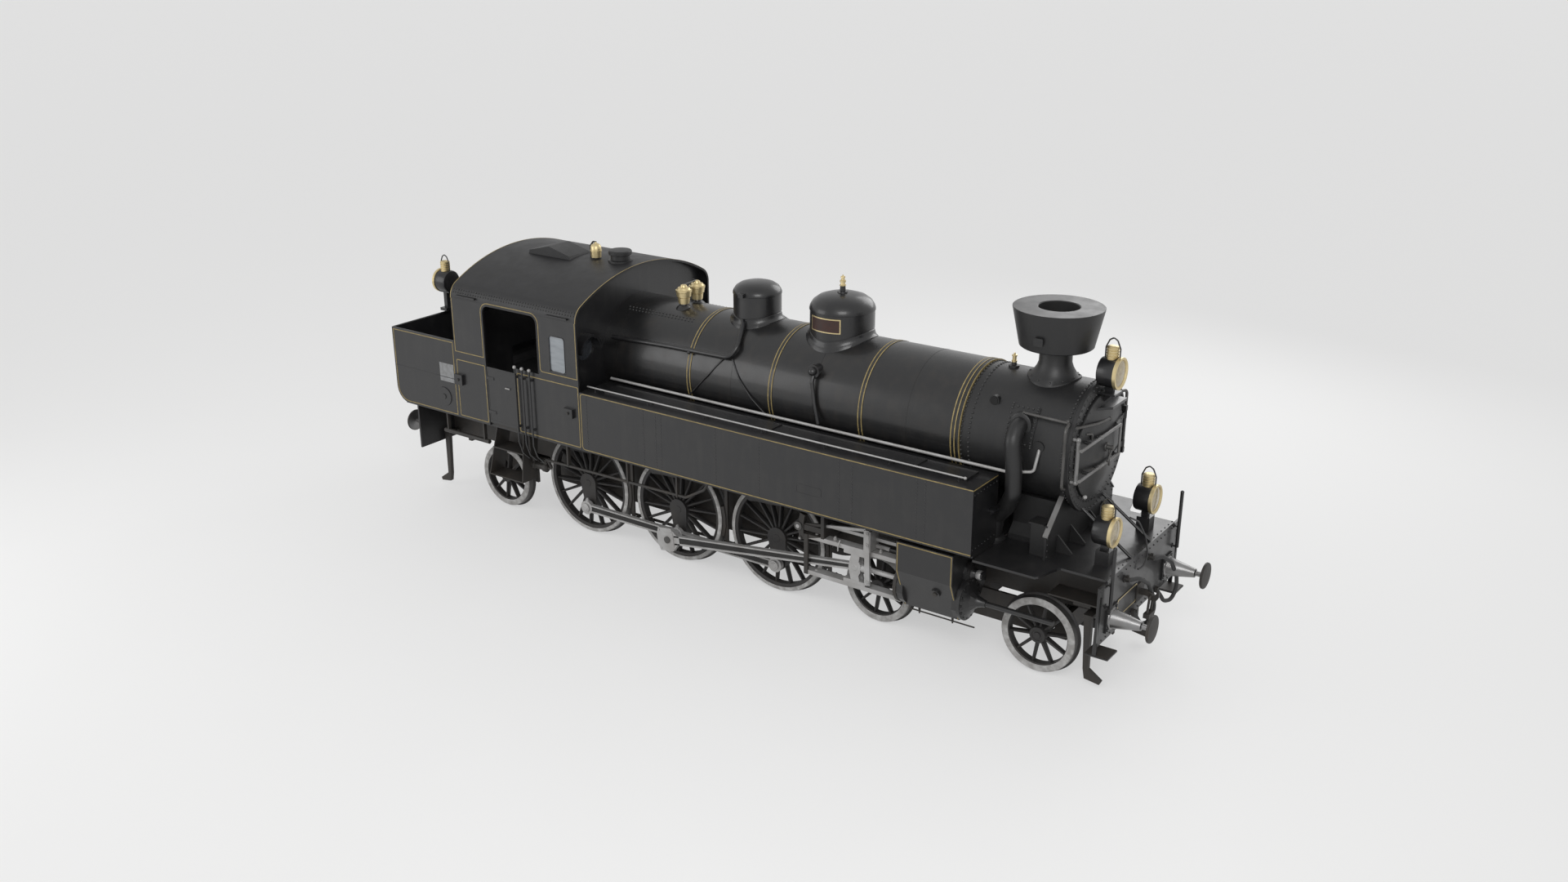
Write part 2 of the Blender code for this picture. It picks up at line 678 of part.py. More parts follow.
def buffer(name, end, side):
    """A tapered buffer body, its rod and its round head."""
    profile = [(SEAT, 0.130), (0.030, 0.130), (0.031, 0.100), (0.390, 0.045), (0.391, 0.032),
               (BUFFER_REACH - 0.045, 0.032), (BUFFER_REACH - 0.044, 0.170), (BUFFER_REACH - 0.015, 0.170),
               (BUFFER_REACH, 0.120)]
    shape = turned("x", (0, 0, 0), [(end * distance, radius) for distance, radius in profile], 12)
    part(name, STEEL, [shape], origin=(end * buffer_beam_x, side * BUFFER_Y, BUFFER_Z))


def coupling(name, end):
    """A drawhook with its screw coupling hanging from it."""
    def at(points):
        return [(end * x, z) for x, z in points]
    plate = box(*sorted((end * SEAT, end * 0.020)), -0.11, 0.11, -0.11, 0.11)
    bill = [(0.01, -0.035), (0.12, -0.035), (0.15, -0.075), (0.22, -0.075), (0.26, -0.03), (0.26, 0.05),
            (0.23, 0.05), (0.21, 0.0), (0.17, -0.01), (0.14, 0.035), (0.01, 0.035)]
    hook = prism("y", at(bill), -0.022, 0.022)
    shackle = pipe([(end * 0.17, 0.055, -0.26), (end * 0.17, 0.055, -0.02), (end * 0.17, -0.055, -0.02),
                    (end * 0.17, -0.055, -0.26)], 0.016, 6)
    nut = box(*sorted((end * 0.13, end * 0.21)), -0.08, 0.08, -0.30, -0.23)
    screw = cylinder("z", (end * 0.17, 0, 0), -0.50, -0.24, 0.022, 6)
    foot = box(*sorted((end * 0.14, end * 0.20)), -0.06, 0.06, -0.53, -0.47)
    part(name, IRON, [plate, hook, shackle, nut, screw, foot], origin=(end * buffer_beam_x, 0, BUFFER_Z))


def platform():
    """The running plate under the tanks, cab and bunker, open round the firebox."""
    half, low, high = deck_half_width, platform_bottom, platform_top
    shape = box(-buffer_beam_x, PLATFORM_FRONT_X, -half, half, low, high)
    opening = box(BOILER_BACK_X - 0.05, FIREBOX_FRONT_X + 0.05, -FIREBOX_GAP_HALF, FIREBOX_GAP_HALF,
                  low - 0.1, high + 0.1)
    part("platform", BLACK, [shape], [opening])


def front_deck():
    """The plate round the smokebox, which narrows ahead of the cylinders in an easy curve."""
    wide, narrow = deck_half_width, DECK_NOSE_HALF_WIDTH
    bend = [(5.068 + 0.150 * t, wide + (narrow - wide) * (0.5 - 0.5 * cos(pi * t))) for t in
            (0.0, 0.2, 0.4, 0.6, 0.8, 1.0)]
    half = [(PLATFORM_FRONT_X + SEAT, wide), *bend, (buffer_beam_x, narrow)]
    outline = half + [(x, -y) for x, y in reversed(half)]
    part("front_deck", BLACK, [prism("z", outline, FRONT_DECK_TOP - DECK_THICKNESS, FRONT_DECK_TOP)])


# Boiler and what stands on it

def boiler():
    """The lagged barrel with the firebox that hangs from its rear end between the frames."""
    barrel = cylinder("x", (0, 0, BOILER_Z), BOILER_BACK_X, SMOKEBOX_BACK_X - SEAT, BOILER_RADIUS, 32)
    half = [(0.30, 1.05), (FIREBOX_LEG_HALF, 1.35), (FIREBOX_LEG_HALF, body_bottom),
            (FIREBOX_HALF_WIDTH, body_bottom), (FIREBOX_HALF_WIDTH, BOILER_Z - 0.30)]
    outline = half + [(-y, z) for y, z in reversed(half)]
    shapes = [barrel, prism("x", outline, BOILER_BACK_X, FIREBOX_FRONT_X)]
    for _, side in SIDES:
        valve = (CLACK_X, 0, BOILER_Z + 0.460)
        shapes.append(cylinder("y", valve, *mirrored(side, 0.560, 0.765), 0.075, 12))
        feed = ((0.0, 0.740, 0.460), (0.010, 0.795, 0.300), (0.080, 0.815, 0.050), (0.130, 0.805, -0.200))
        points = [(CLACK_X + x, side * y, BOILER_Z + z) for x, y, z in feed]
        shapes.append(pipe(points, FEED_PIPE_RADIUS, 6))
        rail = ((CAB_FRONT_X + 0.05, 0.760, 0.350), (0.085, 0.745, 0.400), (0.156, 0.650, 0.530),
                (0.060, 0.475, 0.655))
        points = [(x, side * y, BOILER_Z + z) for x, y, z in rail]
        shapes.append(pipe(points, FEED_PIPE_RADIUS, 6))
    part("boiler", BLACK, shapes)


def smokebox():
    """A hollow drum with a wide front ring round the door opening and a hole under the chimney."""
    centre = (0, 0, BOILER_Z)
    drum = cylinder("x", centre, SMOKEBOX_BACK_X, SMOKEBOX_FRONT_X, SMOKEBOX_RADIUS, 32)
    flange = cylinder("x", centre, SMOKEBOX_FRONT_X - SMOKEBOX_FLANGE_DEPTH, SMOKEBOX_FRONT_X,
                      SMOKEBOX_FLANGE_RADIUS, 32)
    hollow = cylinder("x", centre, SMOKEBOX_BACK_X - 0.1, SMOKEBOX_FRONT_X - 0.030,
                      SMOKEBOX_RADIUS - SMOKEBOX_WALL, 24)
    opening = cylinder("x", centre, SMOKEBOX_FRONT_X - 0.2, SMOKEBOX_FRONT_X + 0.2, DOOR_OPENING_RADIUS, 24)
    flue = cylinder("z", (CHIMNEY_X, 0, BOILER_Z), 0.5, 1.0, CHIMNEY_BORE, 12)
    lugs = []
    lug = DOOR_HINGE_HALF + 0.070
    for low, high in ((-lug, -DOOR_HINGE_HALF - SEAT), (DOOR_HINGE_HALF + SEAT, lug)):
        lugs.append(box(SMOKEBOX_FRONT_X - 0.01, SMOKEBOX_FRONT_X + 0.055, door_hinge_y - 0.025,
                        door_hinge_y + 0.025, BOILER_Z + low, BOILER_Z + high))
    part("smokebox", SOOT, [drum, flange, *lugs], [hollow, opening, flue])


def saddle():
    """The casting that seats the smokebox on the deck."""
    base = FRONT_DECK_TOP + SEAT
    half = [(0.62, base), (0.62, 1.70), (0.50, 1.82), (0.50, BOILER_Z - 0.50)]
    wide = [(0.98, base), (0.98, 1.945), (0.555, 2.344), (0.30, BOILER_Z - 0.50)]
    shapes = []
    for outline, back, front in ((half, SADDLE_BACK_X, SADDLE_FRONT_X - 0.010),
                                 (wide, SADDLE_FRONT_X - SADDLE_PLATE, SADDLE_FRONT_X)):
        shapes.append(prism("x", outline + [(-y, z) for y, z in reversed(outline)], back, front))
    shapes.append(box(4.730, SADDLE_FRONT_X - 0.010, -0.905, -0.700, base, 2.040))
    seat = cylinder("x", (0, 0, BOILER_Z), SADDLE_BACK_X - 0.1, SADDLE_FRONT_X + 0.1,
                    SMOKEBOX_RADIUS + SEAT, 32)
    part("smokebox_saddle", SOOT, shapes, [seat])


def smokebox_door():
    """A dished round door on two straps, hinged on the left-hand side."""
    hinge_y = door_hinge_y
    hinge_x = SMOKEBOX_FRONT_X + SEAT + SMOKEBOX_DOOR_THICKNESS
    hinge = pivot("smokebox_door_hinge", (hinge_x, hinge_y, BOILER_Z))
    rim = SEAT + SMOKEBOX_DOOR_THICKNESS
    profile = [(SEAT, SMOKEBOX_DOOR_RADIUS), (rim, SMOKEBOX_DOOR_RADIUS),
               (rim + SMOKEBOX_DOOR_DISH * 0.6, SMOKEBOX_DOOR_RADIUS * 0.6),
               (rim + SMOKEBOX_DOOR_DISH, SMOKEBOX_DOOR_RADIUS * 0.2),
               (rim + SMOKEBOX_DOOR_DISH, 0)]
    shift = (SMOKEBOX_FRONT_X - hinge_x, -hinge_y, 0)
    shapes = [turned("x", shift, profile, 24)]
    for z in (-DOOR_STRAP_Z, DOOR_STRAP_Z):
        strap = [(0.02, 0.02), (SMOKEBOX_DOOR_DISH * 0.55, -0.28), (SMOKEBOX_DOOR_DISH + 0.02, -hinge_y),
                 (SMOKEBOX_DOOR_DISH * 0.55 + 0.01, -hinge_y - 0.36), (0.0, -hinge_y - 0.36), (-0.01, 0.02)]
        shapes.append(prism("z", strap, z - DOOR_STRAP_HALF, z + DOOR_STRAP_HALF))
    shapes.append(cylinder("z", (0, 0, 0), -DOOR_HINGE_HALF, DOOR_HINGE_HALF, 0.020, 12))
    knob = (0, -hinge_y, 0)
    shapes.append(cylinder("x", knob, SMOKEBOX_DOOR_DISH - 0.02, SMOKEBOX_DOOR_DISH + 0.10, 0.035, 12))
    part("smokebox_door", SOOT, shapes, origin=(hinge_x, hinge_y, BOILER_Z), parent=hinge)


def chimney():
    """A flared stem with the inverted cone of its spark arrester."""
    top, bottom = CHIMNEY_TOP, CHIMNEY_CONE_BOTTOM
    profile = [(3.20, 0.300), (3.64, 0.300), (3.70, 0.235), (3.80, CHIMNEY_STEM_RADIUS),
               (bottom - 0.06, CHIMNEY_STEM_RADIUS), (bottom, CHIMNEY_CONE_RADIUS),
               (top, CHIMNEY_RIM_RADIUS)]
    body = turned("z", (CHIMNEY_X, 0, 0), profile, 20)
    mouth = cylinder("z", (CHIMNEY_X, 0, 0), top - 0.20, top + 0.1, 0.24, 16)
    bore = cylinder("z", (CHIMNEY_X, 0, 0), 2.0, top + 0.1, CHIMNEY_BORE, 12)
    seat = cylinder("x", (0, 0, BOILER_Z), CHIMNEY_X - 1, CHIMNEY_X + 1, SMOKEBOX_RADIUS + SEAT, 32)
    part("chimney", SOOT, [body], [mouth, bore, seat])


DOMES = (
    # name, x, radius, shoulder z, top z
    ("steam_dome", 0.008, 0.335, 4.050, 4.160),
    ("sand_dome", 1.408, 0.435, 4.045, 4.200),
)


def domes():
    crest = BOILER_Z + BOILER_RADIUS
    for name, x, radius, shoulder, top in DOMES:
        profile = [(crest - 0.40, radius + 0.09), (crest + 0.015, radius + 0.06), (crest + 0.09, radius),
                   (shoulder - 0.08, radius), (shoulder - 0.02, radius * 0.95),
                   (shoulder + 0.04, radius * 0.75), (top - 0.01, radius * 0.35), (top, radius * 0.12)]
        seat = cylinder("x", (0, 0, BOILER_Z), x - 1, x + 1, BOILER_RADIUS + SEAT, 32)
        part(name, BLACK, [turned("z", (x, 0, 0), profile, 20)], [seat])


def safety_valves():
    """Two spring-loaded valves on one base behind the steam dome."""
    x = SAFETY_VALVE_X
    shapes = [cylinder("z", (x, 0, 0), 3.50, 3.72, 0.16, 16)]
    for offset in (-0.075, 0.075):
        valve = [(3.65, 0.045), (3.80, 0.045), (3.82, 0.055), (3.90, 0.050), (3.93, 0.02)]
        shapes.append(turned("z", (x, offset, 0), valve, 12))
    seat = cylinder("x", (0, 0, BOILER_Z), x - 1, x + 1, BOILER_RADIUS + SEAT, 32)
    part("safety_valves", BRASS, shapes, [seat])


def steam_pipe(side_name, side):
    """The pipe from the smokebox down to the cylinder's steam chest."""
    x, y, foot_z = STEAM_PIPE_X, side * STEAM_PIPE_Y, FRONT_DECK_TOP
    inner = side * (SMOKEBOX_RADIUS - 0.180)
    path = [(x, inner, BOILER_Z + 0.170), (x, y - side * 0.130, BOILER_Z + 0.130),
            (x, y - side * 0.020, BOILER_Z - 0.050), (x, y, BOILER_Z - 0.300), (x, y, foot_z + 0.270),
            (x, y, foot_z + 0.030)]
    foot = cylinder("z", (x, y, 0), foot_z + SEAT, foot_z + 0.050, STEAM_PIPE_RADIUS + 0.055, 12)
    seat = cylinder("x", (0, 0, BOILER_Z), x - 1, x + 1, SMOKEBOX_RADIUS + SEAT, 32)
    part(f"steam_pipe_{side_name}", SOOT, [pipe(path, STEAM_PIPE_RADIUS, 12), foot], [seat])


# Tanks, cab and bunker

def tank(side_name, side):
    """A long side tank that stands on the platform beside the boiler."""
    y0, y1 = mirrored(side, TANK_INNER, BODY_HALF_WIDTH)
    body = box(tank_back_x, PLATFORM_FRONT_X, y0, y1, body_bottom, TANK_TOP)
    y0, y1 = mirrored(side, TANK_LID_INNER, TANK_LID_OUTER)
    lid = box(tank_back_x + 0.300, PLATFORM_FRONT_X - 0.200, y0, y1, TANK_TOP - 0.010,
              TANK_TOP + TANK_LID_HEIGHT)
    part(f"tank_{side_name}", BLACK, [body, lid])


def roof_line(inset):
    """Corners of the roof's cross-section from eave to eave, this far inside its outer skin."""
    across = BODY_HALF_WIDTH - ROOF_SHOULDER
    rise = CAB_APEX - CAB_EAVES
    crown = (across ** 2 + rise ** 2 - ROOF_SHOULDER ** 2) / (2 * (rise - ROOF_SHOULDER))
    lean = degrees(atan2(across, crown - rise))
    points = arc(across, CAB_EAVES, ROOF_SHOULDER - inset, 0, 90 - lean, 4)
    points += arc(0, CAB_APEX - crown, crown - inset, 90 - lean, 90 + lean, 8)[1:-1]
    return points + arc(-across, CAB_EAVES, ROOF_SHOULDER - inset, 90 + lean, 180, 4)


def cab_side(side_name, side):
    """The side sheet with its doorway, the opening above it and the narrow window."""
    y0, y1 = mirrored(side, BODY_HALF_WIDTH - CAB_WALL, BODY_HALF_WIDTH)
    sheet = box(CAB_BACK_X, CAB_FRONT_X, y0, y1, body_bottom, CAB_EAVES - SEAT)
    low, high = y0 - 0.1, y1 + 0.1
    doorway = box(DOOR_BACK_X - SEAT, DOOR_FRONT_X + DOOR_GAP, low, high, body_bottom - 0.1,
                  CAB_WAIST + 0.12)
    wide = rounded_window(OPENING_BACK_X, OPENING_FRONT_X, CAB_WAIST + 0.08, OPENING_TOP, 0.12, low, high)
    narrow = rounded_window(WINDOW_BACK_X, WINDOW_FRONT_X, WINDOW_BOTTOM, WINDOW_TOP, 0.05, low, high)
    part(f"cab_side_{side_name}", BLACK, [sheet], [doorway, wide, narrow])


def rounded_window(x0, x1, z0, z1, radius, low, high):
    outline = arc(x1 - radius, z1 - radius, radius, 0, 90, 4)
    outline += arc(x0 + radius, z1 - radius, radius, 90, 180, 4)
    outline += [(x0, z0), (x1, z0)]
    return prism("y", outline, low, high)


def cab_door(side_name, side):
    """A low door hinged on its rear edge, which opens into the cab."""
    hinge_y = side * (BODY_HALF_WIDTH - CAB_WALL)
    hinge = pivot(f"cab_door_hinge_{side_name}", (DOOR_BACK_X, hinge_y, body_bottom))
    low = CAB_FLOOR_THICKNESS + 0.015
    leaf = box(0.0, DOOR_FRONT_X - DOOR_BACK_X, *mirrored(side, 0.0, CAB_WALL), low, CAB_WAIST - body_bottom)
    part(f"cab_door_{side_name}", BLACK, [leaf], origin=(DOOR_BACK_X, hinge_y, body_bottom), parent=hinge)


def cab_end(name, x0, x1, fittings, cuts):
    """A cross wall that fills the space under the roof between the side sheets."""
    inner = BODY_HALF_WIDTH - CAB_WALL - SEAT
    outline = [(-inner, body_bottom), (inner, body_bottom), *roof_line(CAB_ROOF_THICKNESS + SEAT)]
    part(name, BLACK, [prism("x", outline, x0, x1), *fittings], cuts)


def shovel_hole(x):
    return box(x - 0.1, x + 0.1, -SHOVEL_HALF, SHOVEL_HALF, platform_top + SHOVEL_BOTTOM,
               platform_top + SHOVEL_TOP)


def port_hood(side, x):
    """The half-round hood that shades a front window."""
    outer, inner = FRONT_PORT_RADIUS + PORT_WALL, FRONT_PORT_RADIUS
    y = side * front_port_y
    outline = arc(y, FRONT_PORT_Z, outer, -10, 190, 12) + arc(y, FRONT_PORT_Z, inner, 190, -10, 12)
    return prism("x", outline, x - 0.005, x + PORT_HOOD)


def roof_fittings():
    """The ventilator, the whistle's foot and the hatch, which stand on the roof."""
    sunk = -0.060
    hatch = [(-0.425, sunk), (0.425, sunk), (0.400, 0.020), (0.0, 0.120), (-0.400, 0.020)]
    vent = [(sunk, 0.140), (0.090, 0.140), (0.100, 0.165), (0.150, 0.165), (0.160, 0.060)]
    whistle = [(sunk, 0.060), (0.030, 0.050), (0.040, 0.035), (0.190, 0.035)]
    outline = [(HATCH_X + x, CAB_APEX + z) for x, z in hatch]
    return [
        prism("y", outline, -HATCH_HALF_WIDTH, HATCH_HALF_WIDTH),
        turned("z", (VENT_X, VENT_Y, CAB_APEX), vent, 12),
        turned("z", (WHISTLE_X, WHISTLE_Y, CAB_APEX), whistle, 8),
    ]


def cab():
    """The cab's two ends, floor and roof."""
    front_low, front_high = cab_wall_x - CAB_WALL, cab_wall_x
    barrel = cylinder("x", (0, 0, BOILER_Z), front_low - 0.1, front_high + 0.1, BOILER_RADIUS + SEAT, 32)
    throat = box(front_low - 0.1, front_high + 0.1, -FIREBOX_HALF_WIDTH - SEAT, FIREBOX_HALF_WIDTH + SEAT,
                 body_bottom - 0.1, BOILER_Z - 0.25)
    ports = [cylinder("x", (0, side * front_port_y, FRONT_PORT_Z), front_low - 0.1, front_high + 0.1,
                      FRONT_PORT_RADIUS - 0.001, 16) for _, side in SIDES]
    hoods = [port_hood(side, front_high) for _, side in SIDES]
    cab_end("cab_front", front_low, front_high, hoods, [barrel, throat, *ports])
    back_low, back_high = CAB_BACK_X, CAB_BACK_X + CAB_WALL
    rear_ports = [cylinder("x", (0, side * rear_port_y, REAR_PORT_Z), back_low - 0.1, back_high + 0.1,
                           REAR_PORT_RADIUS, 16) for _, side in SIDES]
    cab_end("cab_rear", back_low, back_high, [], [*rear_ports, shovel_hole(back_low)])
    floor_inner = BODY_HALF_WIDTH - CAB_WALL - SEAT
    floor = box(back_high + SEAT, BOILER_BACK_X - SEAT, -floor_inner, floor_inner, body_bottom,
                body_bottom + CAB_FLOOR_THICKNESS)
    part("cab_floor", IRON, [floor])
    outline = roof_line(0) + roof_line(CAB_ROOF_THICKNESS)[::-1]
    part("cab_roof", BLACK, [prism("x", outline, CAB_BACK_X, CAB_FRONT_X), *roof_fittings()])


def coal_bunker():
    """An open-topped bunker behind the cab, rounded at its lower rear corner."""
    front = CAB_BACK_X - SEAT
    radius = BUNKER_CORNER

    def outline(inset, top):
        back, low = BUNKER_BACK_X + inset, body_bottom + inset
        return [(front - inset, low), (front - inset, top), (back, top),
                *arc(back + radius - inset, low + radius - inset, radius - inset, 180, 270, 5)]
    shell = prism("y", outline(0, BUNKER_TOP), -BODY_HALF_WIDTH, BODY_HALF_WIDTH)
    space = prism("y", outline(BUNKER_WALL, BUNKER_TOP + 0.3), -BODY_HALF_WIDTH + BUNKER_WALL,
                  BODY_HALF_WIDTH - BUNKER_WALL)
    part("coal_bunker", BLACK, [shell], [space, shovel_hole(front)])


# Cylinders and motion

def cylinder_block(side_name, side):
    """The clad cylinder with its steam chest, covers and tail rod guard."""
    rear, front = CYLINDER_REAR_X, cylinder_front_x
    top = FRONT_DECK_TOP - DECK_THICKNESS - SEAT
    casing = [(frame_outer + SEAT, 0.95), (0.80, 0.60), (1.21, 0.64), (deck_half_width, 1.20),
              (deck_half_width, top), (frame_outer + SEAT, top)]
    outline = [(side * y, z) for y, z in casing]
    centre = (0, side * CYLINDER_Y, CYLINDER_Z)
    chest = (0, side * VALVE_Y, VALVE_Z)
    nose = front + CYLINDER_COVER_DEPTH
    shapes = [
        prism("x", outline, rear, front),
        cylinder("x", centre, rear - CYLINDER_COVER_DEPTH, rear + 0.05, CYLINDER_COVER_RADIUS),
        turned("x", centre, [(front - 0.05, CYLINDER_COVER_RADIUS), (front + 0.06, CYLINDER_COVER_RADIUS),
                             (nose + 0.02, 0.16), (nose + 0.10, 0.07), (nose + 0.16, 0.05),
                             (nose + 0.20, 0.035), (front + TAIL_ROD_LENGTH + 0.3, 0.035)], 12),
        turned("x", chest, [(rear - VALVE_SPINDLE, VALVE_SPINDLE_RADIUS),
                            (rear - CHEST_COVER, VALVE_SPINDLE_RADIUS),
                            (rear - CHEST_COVER + 0.001, VALVE_RADIUS),
                            (front + 0.02, VALVE_RADIUS), (front + 0.06, 0.06), (front + 0.20, 0.045)], 12),
    ]
    stuffing = bore("x", centre, rear - 0.2, gudgeon_front_x + piston_rod_length + 0.01, PISTON_ROD_RADIUS)
    part(f"cylinder_{side_name}", BLACK, shapes, [stuffing])


def valve_gear(side):
    """The expansion link, radius rod, combination lever and valve guide, all still at mid gear."""
    guide_low, guide_high = VALVE_GUIDE_Z - VALVE_BAR_HALF, VALVE_GUIDE_Z + VALVE_BAR_HALF
    inner, outer = VALVE_Y - VALVE_BAR_HALF, VALVE_Y + VALVE_BAR_HALF
    lever_y = CYLINDER_Y + SLIDE_BAR_WIDTH / 2 + LEVER_CLEARANCE
    cover = CYLINDER_REAR_X - CHEST_COVER - SEAT
    link = arc(LINK_X + 0.700, VALVE_GUIDE_Z - 0.080, 0.745, 164, 194, 6)
    link += arc(LINK_X + 0.700, VALVE_GUIDE_Z - 0.080, 0.665, 194, 164, 6)
    rod_y = (CYLINDER_Y - 0.010, CYLINDER_Y + 0.020)
    rod = [(LINK_X, VALVE_GUIDE_Z - 0.060), (LEVER_X, LEVER_TOP - 0.060), (LEVER_X, LEVER_TOP - 0.020),
           (LINK_X, VALVE_GUIDE_Z - 0.020)]
    lever = [(LEVER_X - 0.030, LEVER_TOP), (LEVER_X - 0.022, LEVER_BOTTOM), (LEVER_X + 0.060, LEVER_BOTTOM),
             (LEVER_X + 0.030, LEVER_TOP)]
    return [
        box(MOTION_BRACKET_X, cover, *mirrored(side, inner, outer), guide_low, guide_high),
        prism("y", link, *mirrored(side, CYLINDER_Y - 0.030, CYLINDER_Y + 0.040)),
        box(LINK_X - 0.030, MOTION_BRACKET_X + 0.010,
            *mirrored(side, CYLINDER_Y - 0.020, CYLINDER_Y + 0.030),
            VALVE_GUIDE_Z - 0.110, VALVE_GUIDE_Z - 0.030),
        prism("y", rod, *mirrored(side, *rod_y)),
        prism("y", lever, *mirrored(side, lever_y, lever_y + 0.030)),
        box(LEVER_X - 0.050, LEVER_X + 0.050, *mirrored(side, inner - 0.010, lever_y + 0.020),
            VALVE_Z - 0.035, LEVER_TOP - 0.015),
        cylinder("x", (0, side * VALVE_Y, VALVE_Z), LEVER_X, CYLINDER_REAR_X - VALVE_SPINDLE - SEAT,
                 VALVE_SPINDLE_RADIUS, 8),
    ]


def slide_bars(side_name, side):
    """The slide bars, the motion bracket that carries them from the frame, and the valve gear hung on it."""
    y0, y1 = mirrored(side, CYLINDER_Y - SLIDE_BAR_WIDTH / 2, CYLINDER_Y + SLIDE_BAR_WIDTH / 2)
    front = CYLINDER_REAR_X - CYLINDER_COVER_DEPTH - SEAT
    shapes = valve_gear(side)
    for level in (1, -1):
        near = CYLINDER_Z + level * SLIDE_BAR_OFFSET
        far = near + level * SLIDE_BAR_HEIGHT
        shapes.append(box(SLIDE_BAR_REAR_X, front, y0, y1, min(near, far), max(near, far)))
    reach0, reach1 = mirrored(side, frame_outer + SEAT, CYLINDER_Y + SLIDE_BAR_WIDTH / 2)
    shapes.append(box(MOTION_BRACKET_X, MOTION_BRACKET_X + 0.060, reach0, reach1,
                      CYLINDER_Z + SLIDE_BAR_OFFSET + 0.010, platform_bottom - SEAT))
    link0, link1 = mirrored(side, CYLINDER_Y + CONNECTING_ROD_THICKNESS / 2 + SWING_CLEARANCE,
                            CYLINDER_Y + SLIDE_BAR_WIDTH / 2 + 0.010)
    tall = SLIDE_BAR_OFFSET + SLIDE_BAR_HEIGHT
    shapes.append(box(SLIDE_BAR_REAR_X, SLIDE_BAR_REAR_X + 0.060, link0, link1,
                      CYLINDER_Z - tall, CYLINDER_Z + tall))
    part(f"slide_bars_{side_name}", STEEL, shapes)


def crank_place(side_name):
    angle = radians(crank_angles[side_name])
    return DRIVING_X + CRANK_RADIUS * cos(angle), coupled_axle_z + CRANK_RADIUS * sin(angle)


def gudgeon_x(side_name):
    """Where the crosshead stands for the crank's place at rest."""
    pin_x, pin_z = crank_place(side_name)
    return pin_x + sqrt(CONNECTING_ROD_LENGTH ** 2 - (CYLINDER_Z - pin_z) ** 2)


def crosshead(side_name, side):
    """The crosshead between the bars, with the piston rod fixed in its front."""
    x = gudgeon_x(side_name)
    glide = pivot(f"crosshead_slide_{side_name}", (x, side * CYLINDER_Y, CYLINDER_Z))
    half = CROSSHEAD_LENGTH / 2
    height = SLIDE_BAR_OFFSET - GUIDE_GAP
    width = SLIDE_BAR_WIDTH / 2
    body = [(-half, height), (-half, height - 0.05), (-0.07, 0.07), (-0.07, -0.07), (-half, -height + 0.05),
            (-half, -height), (half, -height), (half, -height + 0.05), (0.10, -0.07), (0.16, -0.05),
            (0.16, 0.05), (0.10, 0.07), (half, height - 0.05), (half, height)]
    shapes = [prism("y", body, -width, width)]
    shapes.append(cylinder("x", (0, 0, 0), 0.12, piston_rod_length, PISTON_ROD_RADIUS, 12))
    slot_half = CONNECTING_ROD_THICKNESS / 2 + GUIDE_GAP
    slot = box(-half - 0.1, 0.085, -slot_half, slot_half, -0.14, 0.14)
    part(f"crosshead_{side_name}", STEEL, shapes, [slot], (x, side * CYLINDER_Y, CYLINDER_Z), glide)
    return glide


def connecting_rod(side_name, side, glide):
    """The fluted main rod from the crosshead to the crank pin, free at the crank end."""
    x, z = gudgeon_x(side_name), CYLINDER_Z
    pin_x, pin_z = crank_place(side_name)
    swing = pivot(f"connecting_rod_pin_{side_name}", (x, side * CYLINDER_Y, z), glide)
    angle = atan2(pin_z - z, pin_x - x)
    half = CONNECTING_ROD_THICKNESS / 2
    length, deep = CONNECTING_ROD_LENGTH, CONNECTING_ROD_HALF_DEPTH
    shapes = [
        cylinder("y", (0, 0, 0), -half, half, SMALL_END_RADIUS, 16),
        prism("y", [(0, -0.65 * deep), (length, -deep), (length, deep), (0, 0.65 * deep)], -half, half),
        box(length - 0.13, length + 0.13, -half, half, -BIG_END_HALF, BIG_END_HALF),
    ]
    for shape in shapes:
        shape.data.transform(Matrix.Rotation(-angle, 4, "Y"))
    part(f"connecting_rod_{side_name}", STEEL, shapes, (), (x, side * CYLINDER_Y, z), swing)


def coupling_rod(side_name, side):
    """The side rod across the three crank pins on one side."""
    pin_x, pin_z = crank_place(side_name)
    y0, y1 = mirrored(side, COUPLING_ROD_INNER, coupling_rod_outer)
    middle = (y0 + y1) / 2
    driving = bpy.data.objects["driving_wheelset_axle"]
    turn = pivot(f"coupling_rod_pin_{side_name}", (pin_x, middle, pin_z), driving)
    half = COUPLING_ROD_THICKNESS / 2
    depth = COUPLING_ROD_DEPTH / 2
    shapes = [box(-COUPLED_SPACING, COUPLED_SPACING, -half * 0.9, half * 0.9, -depth, depth)]
    cuts = []
    for i in (-1, 0, 1):
        place = (i * COUPLED_SPACING, 0, 0)
        shapes.append(cylinder("y", place, -half, half, ROD_EYE_RADIUS + 0.02, 12))
        cuts.append(bore("y", place, -half - 0.1, half + 0.1, CRANK_PIN_RADIUS))
    part(f"coupling_rod_{side_name}", STEEL, shapes, cuts, (pin_x, middle, pin_z), turn)


